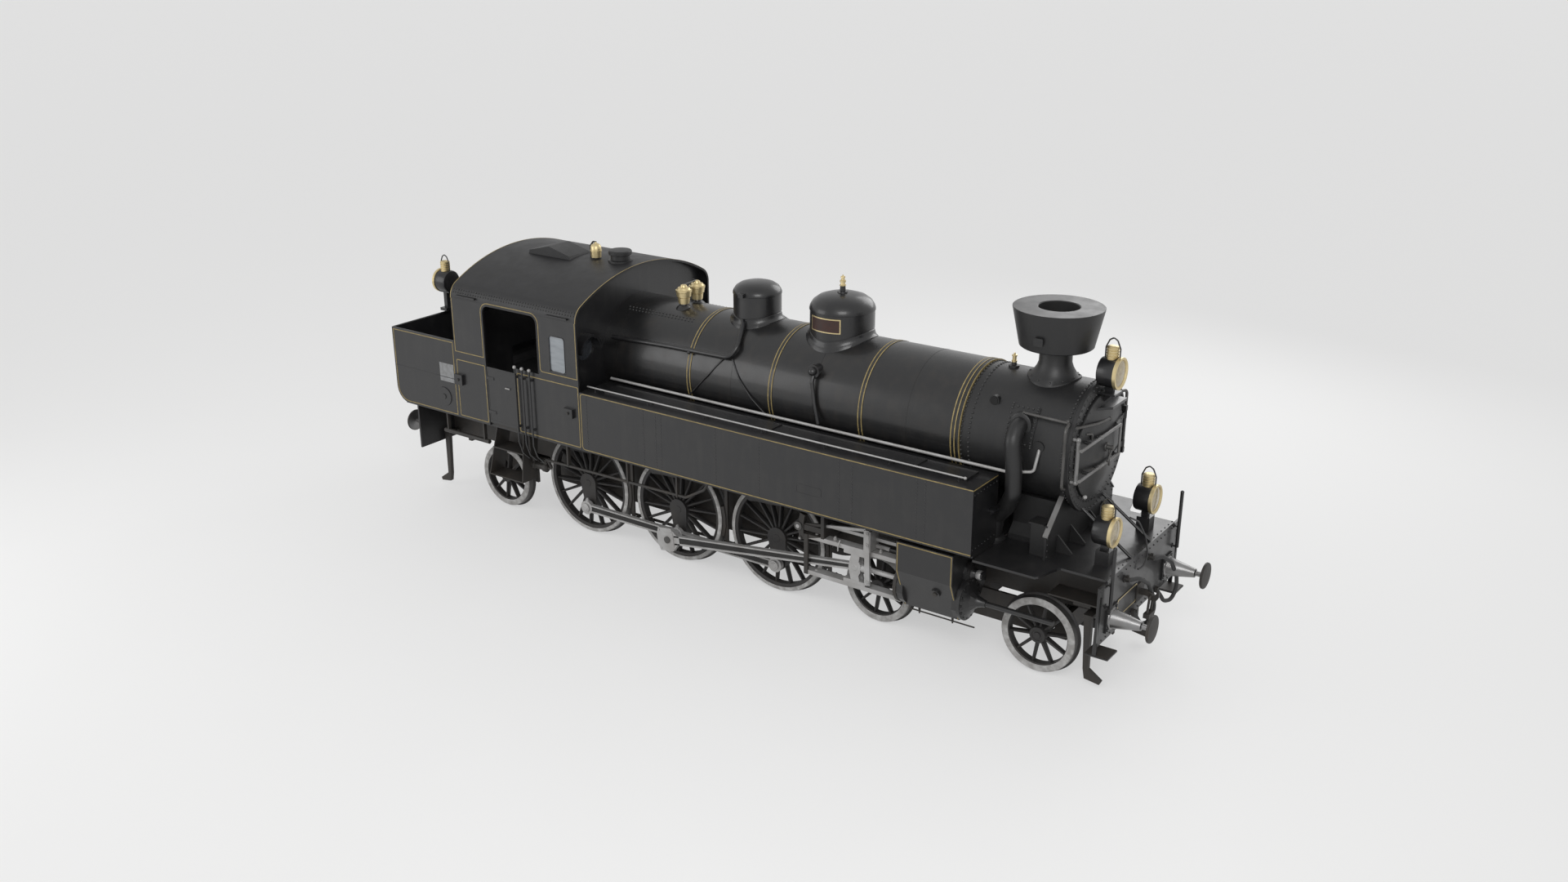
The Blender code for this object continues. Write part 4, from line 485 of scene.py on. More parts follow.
def crankSide(shape, side, angle, reach):  # web, balance weight and pin
    face, half, far = wheelLook["face"], crankLook["weightHalf"], crankLook["weightReach"]
    web = Shape("web")
    outline = arc(0, 0, crankLook["webHub"], 95, 265, 12) + arc(crankLook["throw"], 0, crankLook["webPin"], -75, 75, 10)
    web.prism("y", outline, side * 0.700, side * (face + 0.012), wheelBlack, 0.006)
    rim = [(a, far) for a in range(-half, half + 1, 6)]
    rim += [(a, 0.680 * (0.70 + 0.26 * (a / half) ** 2)) for a in range(half, -half - 1, -6)]
    weight = [(-r * cos(radians(a)), -r * sin(radians(a))) for a, r in rim]
    web.prism("y", weight, side * 0.705, side * (face - 0.008), wheelBlack, 0.005)
    web.boss(side, crankLook["throw"], 0, [
        (face, 0.075), (face + 0.030, 0.075), (face + 0.031, 0.050), (0.936, 0.050), (0.937, 0.068), (0.952, 0.068),
        (0.956, 0.060), (0.957, 0.046), (reach - 0.006, 0.046), (reach, 0.038)], 28, [wheelBlack] * 2 + [steel] * 8)
    web.move(Matrix.Rotation(-radians(angle), 4, "Y"))
    finishes = web.finishes
    shape.add(web.mesh(), *finishes)


def wheelset(name, x, look, cranked):
    shape, axle = Shape(name + "Wheels"), look["axle"]
    shape.turned("y", (0, 0, 0), [(-0.700, axle), (-0.560, axle), (-0.559, axle * 0.93), (0.559, axle * 0.93),
                                  (0.560, axle), (0.700, axle)], 28, darkSteel)
    for sideName, side in sides:
        start = crankLook[sideName] + 180 / look["spokes"] if cranked else 9
        wheelDisc(shape, side, look, wheelLook["tyre" if cranked else "broadTyre"], start)
        if cranked:
            reach = crankLook["drivingPinReach" if name == "driving" else "pinReach"]
            crankSide(shape, side, crankLook[sideName], reach)
    shape.move(Matrix.Translation((x, 0, look["height"])))
    shape.done(name + "_wheels", "wheel", name + "_wheelset")


for look, cranked in ((coupledLook, True), (carryingLook, False)):
    for name, x in look["stops"].items():
        wheelset(name, x, look, cranked)
print("wheels ready")


# Rods and crossheads

joints = {joint["name"]: joint for joint in frame["joints"]}
rodLook = {"inner": 0.862, "thickness": 0.070, "spread": 1.75, "deep": 0.061, "eye": 0.108}
mainLook = {"y": 1.090, "half": 0.034, "length": 3.224, "bigEnd": 0.176, "deepAtPin": 0.048, "deepAtCrank": 0.068}
crossheadLook = {"reach": 0.17, "width": 0.064, "slipper": 0.050, "pin": 0.042, "rod": 0.035}


def fluted(shape, x0, x1, low, high, half, wall, web):  # an I-shaped bar along X
    def ring(x, h):
        edge = [(half, h), (half, h - wall), (web, h - wall - 0.006), (web, -h + wall + 0.006),
                (half, -h + wall), (half, -h)]
        return [(x, y, z) for y, z in edge + [(-y, -z) for y, z in edge]]
    shape.skin([ring(x0, low), ring(x1, high)], steel, rounding=0.003)
    a, b = low - wall - 0.006, high - wall - 0.006
    for side in (-1, 1):
        shape.prism("y", [(x0 + 0.02, -a), (x1 - 0.02, -b), (x1 - 0.02, b), (x0 + 0.02, a)],
                    *span(side, web - 0.002, web + 0.002), webSteel)


def crankPin(sideName):
    angle = radians(crankLook[sideName])
    return (coupledLook["stops"]["driving"] + crankLook["throw"] * cos(angle),
            coupledLook["height"] + crankLook["throw"] * sin(angle))


def couplingRod(sideName, side):
    shape, spread, eye = Shape("couplingRod" + sideName.title()), rodLook["spread"], rodLook["eye"]
    x, z = crankPin(sideName)
    for end in (-1, 1):
        fluted(shape, *span(end, 0.08, 1.68), rodLook["deep"], rodLook["deep"], 0.031, 0.021, 0.022)
    for i in (-1, 0, 1):  # eyes with their oil cups
        shape.turned("y", (i * spread, 0, 0), [(-0.030, eye), (-0.035, eye - 0.006), (-0.035, 0.051), (0.035, 0.051),
                                               (0.035, eye - 0.006), (0.030, eye)], 40, steel, True)
        shape.turned("z", (i * spread, 0, 0), [(0.100, 0.026), (0.130, 0.026), (0.134, 0.018), (0.150, 0.016)],
                     14, steel)
    shape.turned("y", (-0.30, 0, 0), [(-0.034, 0.050), (0.034, 0.050), (0.0345, 0.030)], 20, steel)
    shape.move(Matrix.Translation((x, side * (rodLook["inner"] + rodLook["thickness"] / 2), z)))
    shape.done("coupling_rod_" + sideName, "bright_steel", "coupling_rod_" + sideName)


def mainRod(sideName, side):
    gx, _, gz = joints[f"connecting_rod_{sideName}_swing"]["pos_m"]
    pinX, pinZ = crankPin(sideName)
    length, half, end = mainLook["length"], mainLook["half"], mainLook["bigEnd"]
    shape, chamfer = Shape("connectingRod" + sideName.title()), mainLook["bigEnd"] * 0.42
    fluted(shape, 0.05, length - 0.12, mainLook["deepAtPin"], mainLook["deepAtCrank"], half, 0.021, 0.023)
    shape.turned("y", (0, 0, 0), [(-half, 0.058), (-half + 0.006, 0.065), (half - 0.006, 0.065), (half, 0.058)],
                 28, steel)
    upper = [(length + 0.19, chamfer), (length + 0.15, end), (length - chamfer, end), (length - end, chamfer),
             (length - end - 0.04, 0.066)]
    shape.prism("y", upper + [(x, -z) for x, z in reversed(upper)], -half, half, steel, 0.006)
    shape.prism("y", rounded(length - 0.110, length + 0.110, -0.112, 0.112, 0.02),
                *((half - 0.002, half + 0.018) if side > 0 else (-half - 0.006, -half + 0.014)), steel, 0.004)
    shape.boss(side, length, 0, [(half, 0.052), (half + 0.020, 0.052), (half + 0.022, 0.030)], 24, darkSteel)
    for x in (-0.090, 0.140):
        for z in (-0.142, 0.142):
            shape.boss(side, length + x, z, [(half, 0.016), (half + 0.010, 0.016)], 6, steel)
    shape.turned("z", (length, 0, 0), [(end, 0.032), (end + 0.022, 0.032), (end + 0.024, 0.022), (end + 0.036, 0.020)],
                 16, steel)
    lean = Matrix.Rotation(-atan2(pinZ - gz, pinX - gx), 4, "Y")
    shape.move(Matrix.Translation((gx, side * mainLook["y"], gz)) @ lean)
    shape.done("connecting_rod_" + sideName, "bright_steel", "connecting_rod_" + sideName)


def crosshead(sideName, side):
    gx, _, gz = joints[f"connecting_rod_{sideName}_swing"]["pos_m"]
    low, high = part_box("crosshead_" + sideName)
    top, base = high.z - gz, low.z - gz
    width, reach, slipper = crossheadLook["width"], crossheadLook["reach"], crossheadLook["slipper"]
    pin, rod = crossheadLook["pin"], crossheadLook["rod"]
    shape = Shape("crosshead" + sideName.title())
    for z0, z1 in ((top - slipper, top), (base, base + slipper)):
        shape.block(-reach, reach, -width, width, z0, z1, steel, 0.004)
    for y in (-1, 1):
        cheek = [(-0.055, base + slipper), (0.075, base + slipper), (0.060, -0.10), (0.085, -0.06), (0.085, 0.06),
                 (0.060, 0.10), (0.075, top - slipper), (-0.055, top - slipper), (-0.080, 0.09), (-0.095, 0.0),
                 (-0.080, -0.09)]
        shape.prism("y", cheek, *span(y, 0.038, width - 0.002), steel, 0.004)
    shape.turned("y", (0, 0, 0), [(-width - 0.004, pin - 0.006), (-width, pin), (width, pin),
                                  (width + 0.004, pin - 0.006)], 24, steel)
    shape.turned("x", (0, 0, 0), [(0.080, 0.060), (0.150, 0.060), (0.170, 0.044), (0.171, rod), (high.x - gx, rod)],
                 24, steel)
    shape.turned("z", (0, side * 0.02, top - 0.001), [(0, 0.020), (0.0, 0.016)], 10, steel)
    shape.move(Matrix.Translation((gx, side * mainLook["y"], gz)))
    shape.done("crosshead_" + sideName, "bright_steel", "crosshead_" + sideName)


for sideName, side in sides:
    couplingRod(sideName, side)
    mainRod(sideName, side)
    crosshead(sideName, side)
print("rods ready")


# Boiler, smokebox and chimney

bodyLook = {"side": 1.500, "line": 0.013, "proud": 0.0015, "platform": 1.6303, "tankTop": 2.550, "tankFront": 4.248,
            "cabFront": -2.032, "cabBack": -4.542, "bunkerBack": -5.932, "eaves": 3.550, "apex": 4.130,
            "shoulder": 0.250}
boilerLook = {"height": 2.850, "radius": 0.800, "back": -2.750, "front": 3.6197, "steps": 96,
              "bands": (-0.602, 0.788, 2.208, 3.560), "bandHalf": 0.034, "seams": (-1.95, 0.12, 1.46, 2.88)}
smokeLook = {"back": 3.620, "front": 5.121, "radius": 0.780, "flange": 0.840, "wall": 0.020, "opening": 0.600,
             "rivetPitch": 0.062, "rivetHead": 0.015, "rail": 0.019, "post": 0.025, "postY": -0.735,
             "postZ": (2.605, 3.140)}


def onShell(x, turn, radius):  # a point on the boiler's or smokebox's skin, this many degrees from its top
    return (x, radius * sin(radians(turn)), boilerLook["height"] + radius * cos(radians(turn)))


def ringed(shape, x, half, foot, height, finish):  # a flat ring round the boiler, standing proud of it
    shape.turned("x", (0, 0, boilerLook["height"]), [(x - half, foot), (x - half, height), (x + half, height),
                                                     (x + half, foot)], boilerLook["steps"], finish, True)


def boiler():
    radius, back = boilerLook["radius"], boilerLook["back"]
    shape = Shape("boilerBarrel")
    shape.turned("x", (0, 0, boilerLook["height"]), [(back, radius - 0.03), (back + 0.03, radius),
                                                     (boilerLook["front"], radius)], boilerLook["steps"], boilerBlack)
    shape.prism("x", mirrored([(0.30, 1.05), (0.46, 1.35), (0.46, 1.677), (0.62, 1.677), (0.62, 2.55)]), back, -1.45,
                boilerBlack)
    for x in boilerLook["bands"]:
        ringed(shape, x, boilerLook["bandHalf"], radius - 0.01, radius + 0.0045, boilerBlack)
        for offset in (-0.026, 0.026):
            ringed(shape, x + offset, 0.0075, radius, radius + 0.0065, gold)
    for x in boilerLook["seams"]:  # seams between the cladding sheets
        ringed(shape, x, 0.012, radius - 0.01, radius + 0.002, boilerBlack)
    for side in (-1, 1):  # two rows of stud heads along the shoulder of the firebox
        for turn, start in ((28.0, -2.00), (31.5, -1.97)):
            rivets(shape, [[onShell(start, side * turn, radius), onShell(-0.83, side * turn, radius)]], 0.060, 0.014)
    shape.turned("x", (0, 0, 2.35), [(back - 0.03, 0.17), (back - 0.02, 0.19), (back, 0.19)], 32, iron)
    shape.block(back - 0.05, back - 0.02, -0.03, 0.20, 2.33, 2.37, iron, 0.006)
    pipes(shape, [[(back - 0.01, -0.25, 3.2), (back - 0.10, -0.25, 3.2), (back - 0.10, 0.22, 3.05)]], 0.014, steel)
    for y in (-0.36, 0.36):
        pipes(shape, [[(back - 0.01, y, 2.72), (back - 0.06, y, 2.72), (back - 0.06, y, 3.10), (back - 0.01, y, 3.10)]],
              0.014, brass, 0.02)
    for y in (-0.12, 0.16):
        shape.turned("x", (0, y, 3.36), [(back - 0.05, 0.075), (back - 0.02, 0.085), (back + 0.01, 0.085)], 24, brass)
    shape.done("locomotive", "black_paint", "boiler")


def smokebox():
    height, back, front, radius = boilerLook["height"], smokeLook["back"], smokeLook["front"], smokeLook["radius"]
    wall, flange, opening = smokeLook["wall"], smokeLook["flange"], smokeLook["opening"]
    shape = Shape("smokeboxShell")
    # Its inner faces take the soot paint that is darkened as painted shade.
    loop = [(back, radius, soot), (front - 0.058, radius, soot), (front - 0.052, flange - 0.006, soot),
            (front - 0.046, flange, soot), (front - 0.006, flange, soot), (front, flange - 0.006, soot),
            (front, opening, sootAndPaintedShade), (front - 0.030, opening, sootAndPaintedShade), (front - 0.030, radius - wall, sootAndPaintedShade),
            (back, radius - wall, soot)]
    shape.turned("x", (0, 0, height), [(x, r) for x, r, _ in loop], boilerLook["steps"], [f for _, _, f in loop], True)
    for x in (back + 0.045, back + 0.150, front - 0.115):
        rivets(shape, [[onShell(x, turn, radius + 0.001) for turn in range(-142, 143, 4)]],
               smokeLook["rivetPitch"], smokeLook["rivetHead"])
    for r, count in ((0.795, 60), (0.705, 52)):
        rivets(shape, [[onShell(front + 0.001, 360 * i / count, r) for i in range(count + 1)]],
               2 * pi * r / count, smokeLook["rivetHead"] - 0.001)
    ringed(shape, back + 0.008, 0.012, radius - 0.02, radius + 0.026, soot)
    ringed(shape, back + 0.024, 0.004, radius, radius + 0.0275, gold)
    for z in (height - 0.27525, height + 0.27525):  # seats of the upright bar
        shape.block(front - 0.01, front + 0.055, 0.690, 0.740, z - 0.03475, z + 0.03475, soot, 0.006)
    for side in (-1, 1):  # the long handrail, its knobs and the drop rail by the front ring
        line = [(4.448, side * 0.710, 3.330), (5.054, side * 0.720, 3.320), (5.085, side * 0.900, 3.300),
                (5.085, side * 0.905, 2.560), (5.075, side * 0.800, 2.520)]
        pipes(shape, [line], smokeLook["rail"], darkSteel, 0.06)
        for x in (4.46, 5.02):
            shape.ball((x, side * 0.700, 3.325), 0.028, darkSteel, 10)
    x, y = front + 0.062, smokeLook["postY"]
    for z in smokeLook["postZ"]:  # the upright bar on the front ring, between two knobs
        shape.turned("x", (0, y, z), [(front - 0.002, 0.024), (front + 0.055, 0.020)], 14, railSteel)
        shape.ball((x, y, z), smokeLook["post"] + 0.008, railSteel, 14)
    pipes(shape, [[(x, y, z) for z in smokeLook["postZ"]]], smokeLook["post"], railSteel, 0.0, 14)
    # A capped tube whose outer end is a dark disc: painted shade where this hole opens into the smokebox.
    shape.turned("y", (4.01, 0, 3.37), [(-0.625, 0.052), (-0.560, 0.052)], 20, sootAndPaintedShade)
    shape.turned("y", (4.01, 0, 3.37), [(-0.618, 0.066), (-0.618, 0.054), (-0.55, 0.054), (-0.55, 0.066)],
                 24, soot, True)
    shape.turned("z", (3.95, 0, 0), [(3.60, 0.070), (3.655, 0.066), (3.662, 0.034), (3.700, 0.030)], 20, soot)
    shape.turned("z", (3.95, 0, 0), [(3.695, 0.034), (3.715, 0.034), (3.720, 0.026), (3.765, 0.026), (3.770, 0.034),
                                     (3.785, 0.034), (3.790, 0.012), (3.810, 0.012)], 16, brass)
    shape.done("locomotive", "smokebox_black", "smokebox")


saddleLook = {"back": 4.30, "plate": (4.945, 4.975), "half": 0.98, "ribs": (0.28, 0.66), "rivetPitch": 0.075}


def saddle():
    shape, foot, (plate, face) = Shape("smokeboxSaddle"), bodyLook["platform"], saddleLook["plate"]
    half = saddleLook["half"]
    shape.prism("x", mirrored([(0.62, foot), (0.62, 1.70), (0.50, 1.82), (0.50, 2.20)]),
                saddleLook["back"], plate, soot, 0.008)
    front = [(half, foot), (half, 1.945), (0.555, 2.344), (0.50, 2.30), (0.30, 2.12), (0.0, 2.06)]
    shape.prism("x", front + [(-y, z) for y, z in reversed(front[:-1])], plate, face, soot, 0.004)
    for side in (-1, 1):
        edge = [[(face + 0.001, side * y, z) for y, z in ((0.95, 1.67), (0.95, 1.925), (0.56, 2.29))]]
        rivets(shape, edge, saddleLook["rivetPitch"], 0.0105)
        slope = [(half + 0.004, 1.930), (half + 0.004, 1.948), (0.557, 2.350), (0.552, 2.336)]
        shape.prism("x", [(side * y, z) for y, z in slope], 4.925, 4.990, railSteel, 0.003)
        for y in saddleLook["ribs"]:
            shape.prism("y", [(face, 1.632), (5.18, 1.632), (5.18, 1.66), (face, 1.86)],
                        *span(side, y - 0.012, y + 0.012), soot)
    shape.block(4.73, plate, -0.905, -0.700, 1.632, 2.04, soot, 0.012)
    shape.block(4.70, 4.90, -0.915, -0.69, 2.03, 2.055, soot, 0.006)
    shape.done("locomotive", "smokebox_black", "smokebox_saddle")


doorLook = {"bars": 0.135, "level": 0.19, "barRadius": 0.021, "barEnds": (-0.800, 0.350), "strapHalf": 0.034,
            "dish": [(0.0, 0.664), (0.004, 0.670), (0.022, 0.670), (0.030, 0.664), (0.036, 0.600), (0.062, 0.480),
                     (0.084, 0.360), (0.102, 0.230), (0.112, 0.110), (0.1140, 0.0)]}


def smokeboxDoor():
    hx, hy, _ = joints["smokebox_door_hinge"]["pos_m"]
    front, height = smokeLook["front"] + 0.0003, boilerLook["height"]
    level, profile = doorLook["level"], doorLook["dish"]
    bars, (barStart, barEnd), radius = front + doorLook["bars"], doorLook["barEnds"], doorLook["barRadius"]
    shape = Shape("smokeboxDoorDressed")
    shape.turned("x", (front, 0, height), profile, boilerLook["steps"], soot)

    def dish(y):  # how far the door bulges here, at the level of its straps
        r = hypot(y, level)
        for (x0, r0), (x1, r1) in zip(profile, profile[1:]):
            if r1 <= r <= r0:
                return x0 + (x1 - x0) * (r0 - r) / max(1e-6, r0 - r1)
        return 0.03
    for z in (height - level, height + level):
        pipes(shape, [[(bars, barStart, z), (bars, barEnd, z)]], radius, railSteel, 0.0, 12)
        for y in (-0.500, -0.235, 0.300):
            shape.turned("x", (0, y, z), [(front + dish(y) - 0.01, 0.022), (bars, 0.018)], 12, soot)
        shape.ball((bars, -0.235, z), 0.030, railSteel, 12)
        stops, half = [0.62 - 0.08 * i for i in range(5)], doorLook["strapHalf"]
        outline = [(front + dish(y) + 0.016, y) for y in stops] + [(front + dish(y) - 0.01, y) for y in reversed(stops)]
        shape.prism("z", outline, z - half, z + half, soot)
        lug = [(front + 0.030, 0.60), (hx + 0.012, hy - 0.018), (hx + 0.012, hy + 0.018), (hx - 0.018, hy + 0.018),
               (hx - 0.018, hy - 0.018), (front + 0.004, 0.60)]
        shape.prism("z", lug, z - half, z + half, soot)
        rivets(shape, [[(front + dish(y) + 0.017, y, z) for y in stops[1:]]], 0.13, 0.011)
        shape.turned("z", (hx, hy, z), [(-0.045, 0.028), (0.045, 0.028)], 16, soot)
    shape.turned("z", (hx, hy, height), [(-0.240, 0.016), (0.240, 0.016)], 14, soot)
    pipes(shape, [[(bars, barEnd, height - level), (bars, barEnd, height + level)]], radius - 0.004, railSteel, 0.0, 12)
    shape.turned("x", (front, 0, height), [(0.10, 0.060), (0.128, 0.056), (0.130, 0.030), (0.178, 0.026),
                                           (0.180, 0.036), (0.205, 0.036), (0.212, 0.024)], 20, darkSteel)
    pipes(shape, [[(front + 0.150, 0, height), (front + 0.158, 0.02, height - 0.24)],
                  [(front + 0.193, 0, height), (front + 0.200, -0.15, height - 0.13)]], 0.0125, darkSteel, 0.0)
    pipes(shape, [[(5.150, -0.72, 3.28), (5.2125, -0.30, 3.225), (5.205, 0.12, 3.17)]], 0.018, darkSteel, 0.2)
    shape.ball((5.205, 0.12, 3.17), 0.028, darkSteel)
    shape.ball((5.180, -0.410, 2.310), 0.028, steel, 12)
    pipes(shape, [[(5.160, -0.470, 3.130), (5.205, -0.400, 3.125), (5.205, -0.375, 3.045)]], 0.016, darkSteel, 0.03)
    rivets(shape, [[onShell(front + 0.031, 6 * i, 0.640) for i in range(61)]], 0.100, 0.009)
    shape.done("smokebox_door", "smokebox_black", "smokebox_door")


chimneyLook = {"x": 4.498, "steps": 64, "foot": 0.330, "throat": 0.203, "bolts": 12, "boltCircle": 0.298,
               "cone": [(3.960, 0.200), (3.985, 0.215), (4.000, 0.440), (4.012, 0.455), (4.470, 0.553), (4.486, 0.555),
                        (4.490, 0.550)],
               "bore": [(4.490, 0.262), (4.480, 0.250), (4.300, 0.235), (4.290, 0.165), (3.700, 0.160)]}


def saddled(x, count, radius, reach, share, z):  # a ring that lies on a barrel, or between it and a level plane
    height, flat = boilerLook["height"], boilerLook["height"] + reach + z
    return [(x + u, v, (height + sqrt(reach ** 2 - v ** 2) + z) * share + flat * (1 - share))
            for u, v in circle(radius, count)]


def levelRing(x, count, radius, z):
    return [(x + u, v, z) for u, v in circle(radius, count)]


def chimney():
    shape, look = Shape("chimneyDressed"), chimneyLook
    x, count, reach = look["x"], look["steps"], smokeLook["radius"] + 0.0003
    rings = [saddled(x, count, radius, reach, share, z) for share, z, radius in
             ((1.0, 0.0, look["foot"]), (1.0, 0.018, 0.326), (0.7, 0.045, 0.268), (0.35, 0.110, 0.225))]
    rings += [levelRing(x, count, radius, z) for z, radius in [(3.800, look["throat"])] + look["cone"] + look["bore"]]
    # The bore below the rim is soot-black painted darker as shade, and the disc that closes it low down is painted
    # shade for the chimney running on.
    shape.skin(rings, [soot] * 13 + [sootAndPaintedShade] * 3)
    for u, v in circle(look["boltCircle"], look["bolts"], pi / look["bolts"]):
        shape.ball((x + u, v, boilerLook["height"] + sqrt(reach ** 2 - v ** 2) + 0.030), 0.014, soot, 8)
    outline = [(x + u, 4.16 + v) for u, v in rounded(-0.06, 0.06, -0.05, 0.05, 0.015)]
    shape.prism("y", outline, -0.532, -0.508, soot, 0.003)
    shape.done("locomotive", "smokebox_black", "chimney")


boiler()
smokebox()
saddle()
smokeboxDoor()
chimney()
print("boiler and smokebox ready")


# Domes, valves and boiler fittings

domeLook = {"steps": 72, "reach": 0.8003, "steamX": 0.008, "steamDrum": 0.335, "sandX": 1.408, "sandDrum": 0.435,
            "skirt": [(1.0, 0.0, 0.050), (1.0, 0.010, 0.048), (1.0, 0.030, 0.022), (1.0, 0.060, 0.008),
                      (0.97, 0.085, 0.004), (0.96, 0.090, -0.004), (0.95, 0.100, -0.004), (0.94, 0.105, 0.0)],
            "steamCap": [(0.335, 3.800), (0.335, 3.985), (0.341, 3.990), (0.341, 4.010), (0.330, 4.040),
                         (0.300, 4.085), (0.240, 4.125), (0.150, 4.150), (0.060, 4.158), (0.001, 4.160)],
            "sandCap": [(0.435, 3.800), (0.435, 3.975), (0.443, 3.980), (0.443, 4.000), (0.430, 4.040),
                        (0.395, 4.095), (0.320, 4.150), (0.210, 4.185), (0.100, 4.198), (0.001, 4.200)],
            "plate": (3.745, 3.940), "plateTurn": -91, "plateHalf": 31}
valveLook = {"x": -1.180, "base": 3.682, "y": (-0.150, 0.150), "capValve": 0.145,
             "foot": [(-0.082, 0.128), (-0.050, 0.104), (-0.016, 0.064), (0.004, 0.058)],
             "body": [(0.0, 0.068), (0.004, 0.078), (0.090, 0.088), (0.094, 0.080), (0.102, 0.080), (0.106, 0.102),
                      (0.170, 0.110), (0.176, 0.117), (0.200, 0.117), (0.206, 0.100), (0.232, 0.084), (0.240, 0.052),
                      (0.268, 0.042), (0.278, 0.016)],
             "small": [(0.0, 0.30), (0.08, 0.30), (0.09, 0.22), (0.30, 0.20), (0.32, 0.28), (0.50, 0.28), (0.52, 0.18),
                       (0.72, 0.16), (0.74, 0.22), (0.86, 0.20), (0.90, 0.07), (1.0, 0.06)]}


def skirted(shape, x, drum, cap):  # a dome on a narrow saddle flange
    count, reach = domeLook["steps"], domeLook["reach"]
    rings = [saddled(x, count, drum + wide, reach, share, z) for share, z, wide in domeLook["skirt"]]
    shape.skin(rings + [levelRing(x, count, radius, z) for radius, z in cap], black)


def steamDome():
    shape = Shape("steamDomeDressed")
    skirted(shape, domeLook["steamX"], domeLook["steamDrum"], domeLook["steamCap"])
    for side in (-1, 1):
        shape.block(-0.035, 0.050, *span(side, 0.325, 0.395), 3.990, 4.045, black, 0.010)
    shape.done("locomotive", "black_paint", "steam_dome")


def sandDome():
    shape, x = Shape("sandDomeDressed"), domeLook["sandX"]
    skirted(shape, x, domeLook["sandDrum"], domeLook["sandCap"])
    shape.turned("z", (x, 0, 0), [(4.190, 0.075), (4.215, 0.070), (4.218, 0.040), (4.290, 0.036), (4.300, 0.020)],
                 24, black)
    size = valveLook["capValve"]
    shape.turned("z", (x, 0, 4.290), [(along * size, radius * size) for along, radius in valveLook["small"]], 18, brass)
    (low, high), middle, half = domeLook["plate"], domeLook["plateTurn"], domeLook["plateHalf"]
    for radius, pad, finish, depth in ((0.4345, 0.0, brass, 0.009), (0.4350, 0.015, plateField, 0.0095)):
        reach = radians(half) - pad / 0.44  # a blank curved plate on the right
        turns = [radians(middle) + reach * (i / 5 - 1) for i in range(11)]
        edge = ((0, low + pad), (depth, low + pad), (depth, high - pad), (0, high - pad))
        shape.skin([[(x + (radius + out) * cos(turn), (radius + out) * sin(turn), z) for out, z in edge]
                    for turn in turns], finish)
    shape.done("locomotive", "black_paint", "sand_dome")


def safetyValves():
    shape, x, base = Shape("safetyValvesDressed"), valveLook["x"], valveLook["base"]
    for y in valveLook["y"]:
        shape.turned("z", (x, y, base), valveLook["foot"], 28, black)
        shape.turned("z", (x, y, base), valveLook["body"], 32, brass)
    pipes(shape, [[(x, -0.150, base + 0.272), (x - 0.02, 0.150, base + 0.272), (x - 0.16, 0.260, base + 0.240)]],
          0.0095, black, 0.0)
    shape.done("locomotive", "brass", "safety_valves")


pipeLook = {"rail": 0.033, "feed": 0.026, "sand": 0.0115, "hand": 0.020, "steam": 0.102}


def boilerPipes():
    shape, rail = Shape("boilerPipework"), []
    for side in (-1, 1):
        rail.append([(x, side * y, z) for x, y, z in (
            (-2.00, 0.780, 3.200), (-0.95, 0.770, 3.236), (0.085, 0.760, 3.250), (0.156, 0.670, 3.390),
            (0.030, 0.360, 3.640), (-0.080, 0.240, 3.690))])
        for line, radius, finish, bend in (
                ([(1.462, 0.735, 3.300), (1.465, 0.800, 3.180), (1.530, 0.835, 2.900), (1.600, 0.850, 2.640)],
                 pipeLook["feed"], black, 0.08),
                ([(-0.030, 0.725, 3.220), (-0.260, 0.810, 2.945), (-0.590, 0.805, 2.600)],
                 pipeLook["sand"], black, 0.2),
                ([(0.110, 0.720, 3.220), (0.280, 0.800, 2.990), (0.490, 0.822, 2.770), (0.700, 0.812, 2.600)],
                 pipeLook["sand"], black, 0.2),
                ([(-1.95, 0.905, 2.620), (4.40, 0.905, 2.620), (4.680, 0.820, 2.660), (4.720, 0.800, 2.900),
                  (4.705, 0.740, 2.960)], pipeLook["hand"], steel if side < 0 else black, 0.06)):
            pipes(shape, [[(x, side * y, z) for x, y, z in line]], radius, finish, bend)
        shape.boss(side, 1.457, 3.31, [(0.62, 0.075), (0.745, 0.075)], 20, black)
        shape.boss(side, 1.457, 3.31, [(0.74, 0.092), (0.765, 0.092)], 20, black)
        shape.ball((1.457, side * 0.775, 3.31), 0.058, black, 16)
        shape.boss(side, 4.705, 2.965, [(0.70, 0.075), (0.785, 0.070)], 18, soot)
        for x in (-1.55, -0.60):
            shape.ball((x, side * 0.778, 3.215), 0.030, black, 10)
    pipes(shape, rail, pipeLook["rail"], black, 0.12, 14)
    shape.turned("z", (-0.08, 0, 0), [(3.66, 0.02), (3.70, 0.02)], 8, black)
    shape.done("locomotive", "black_paint")


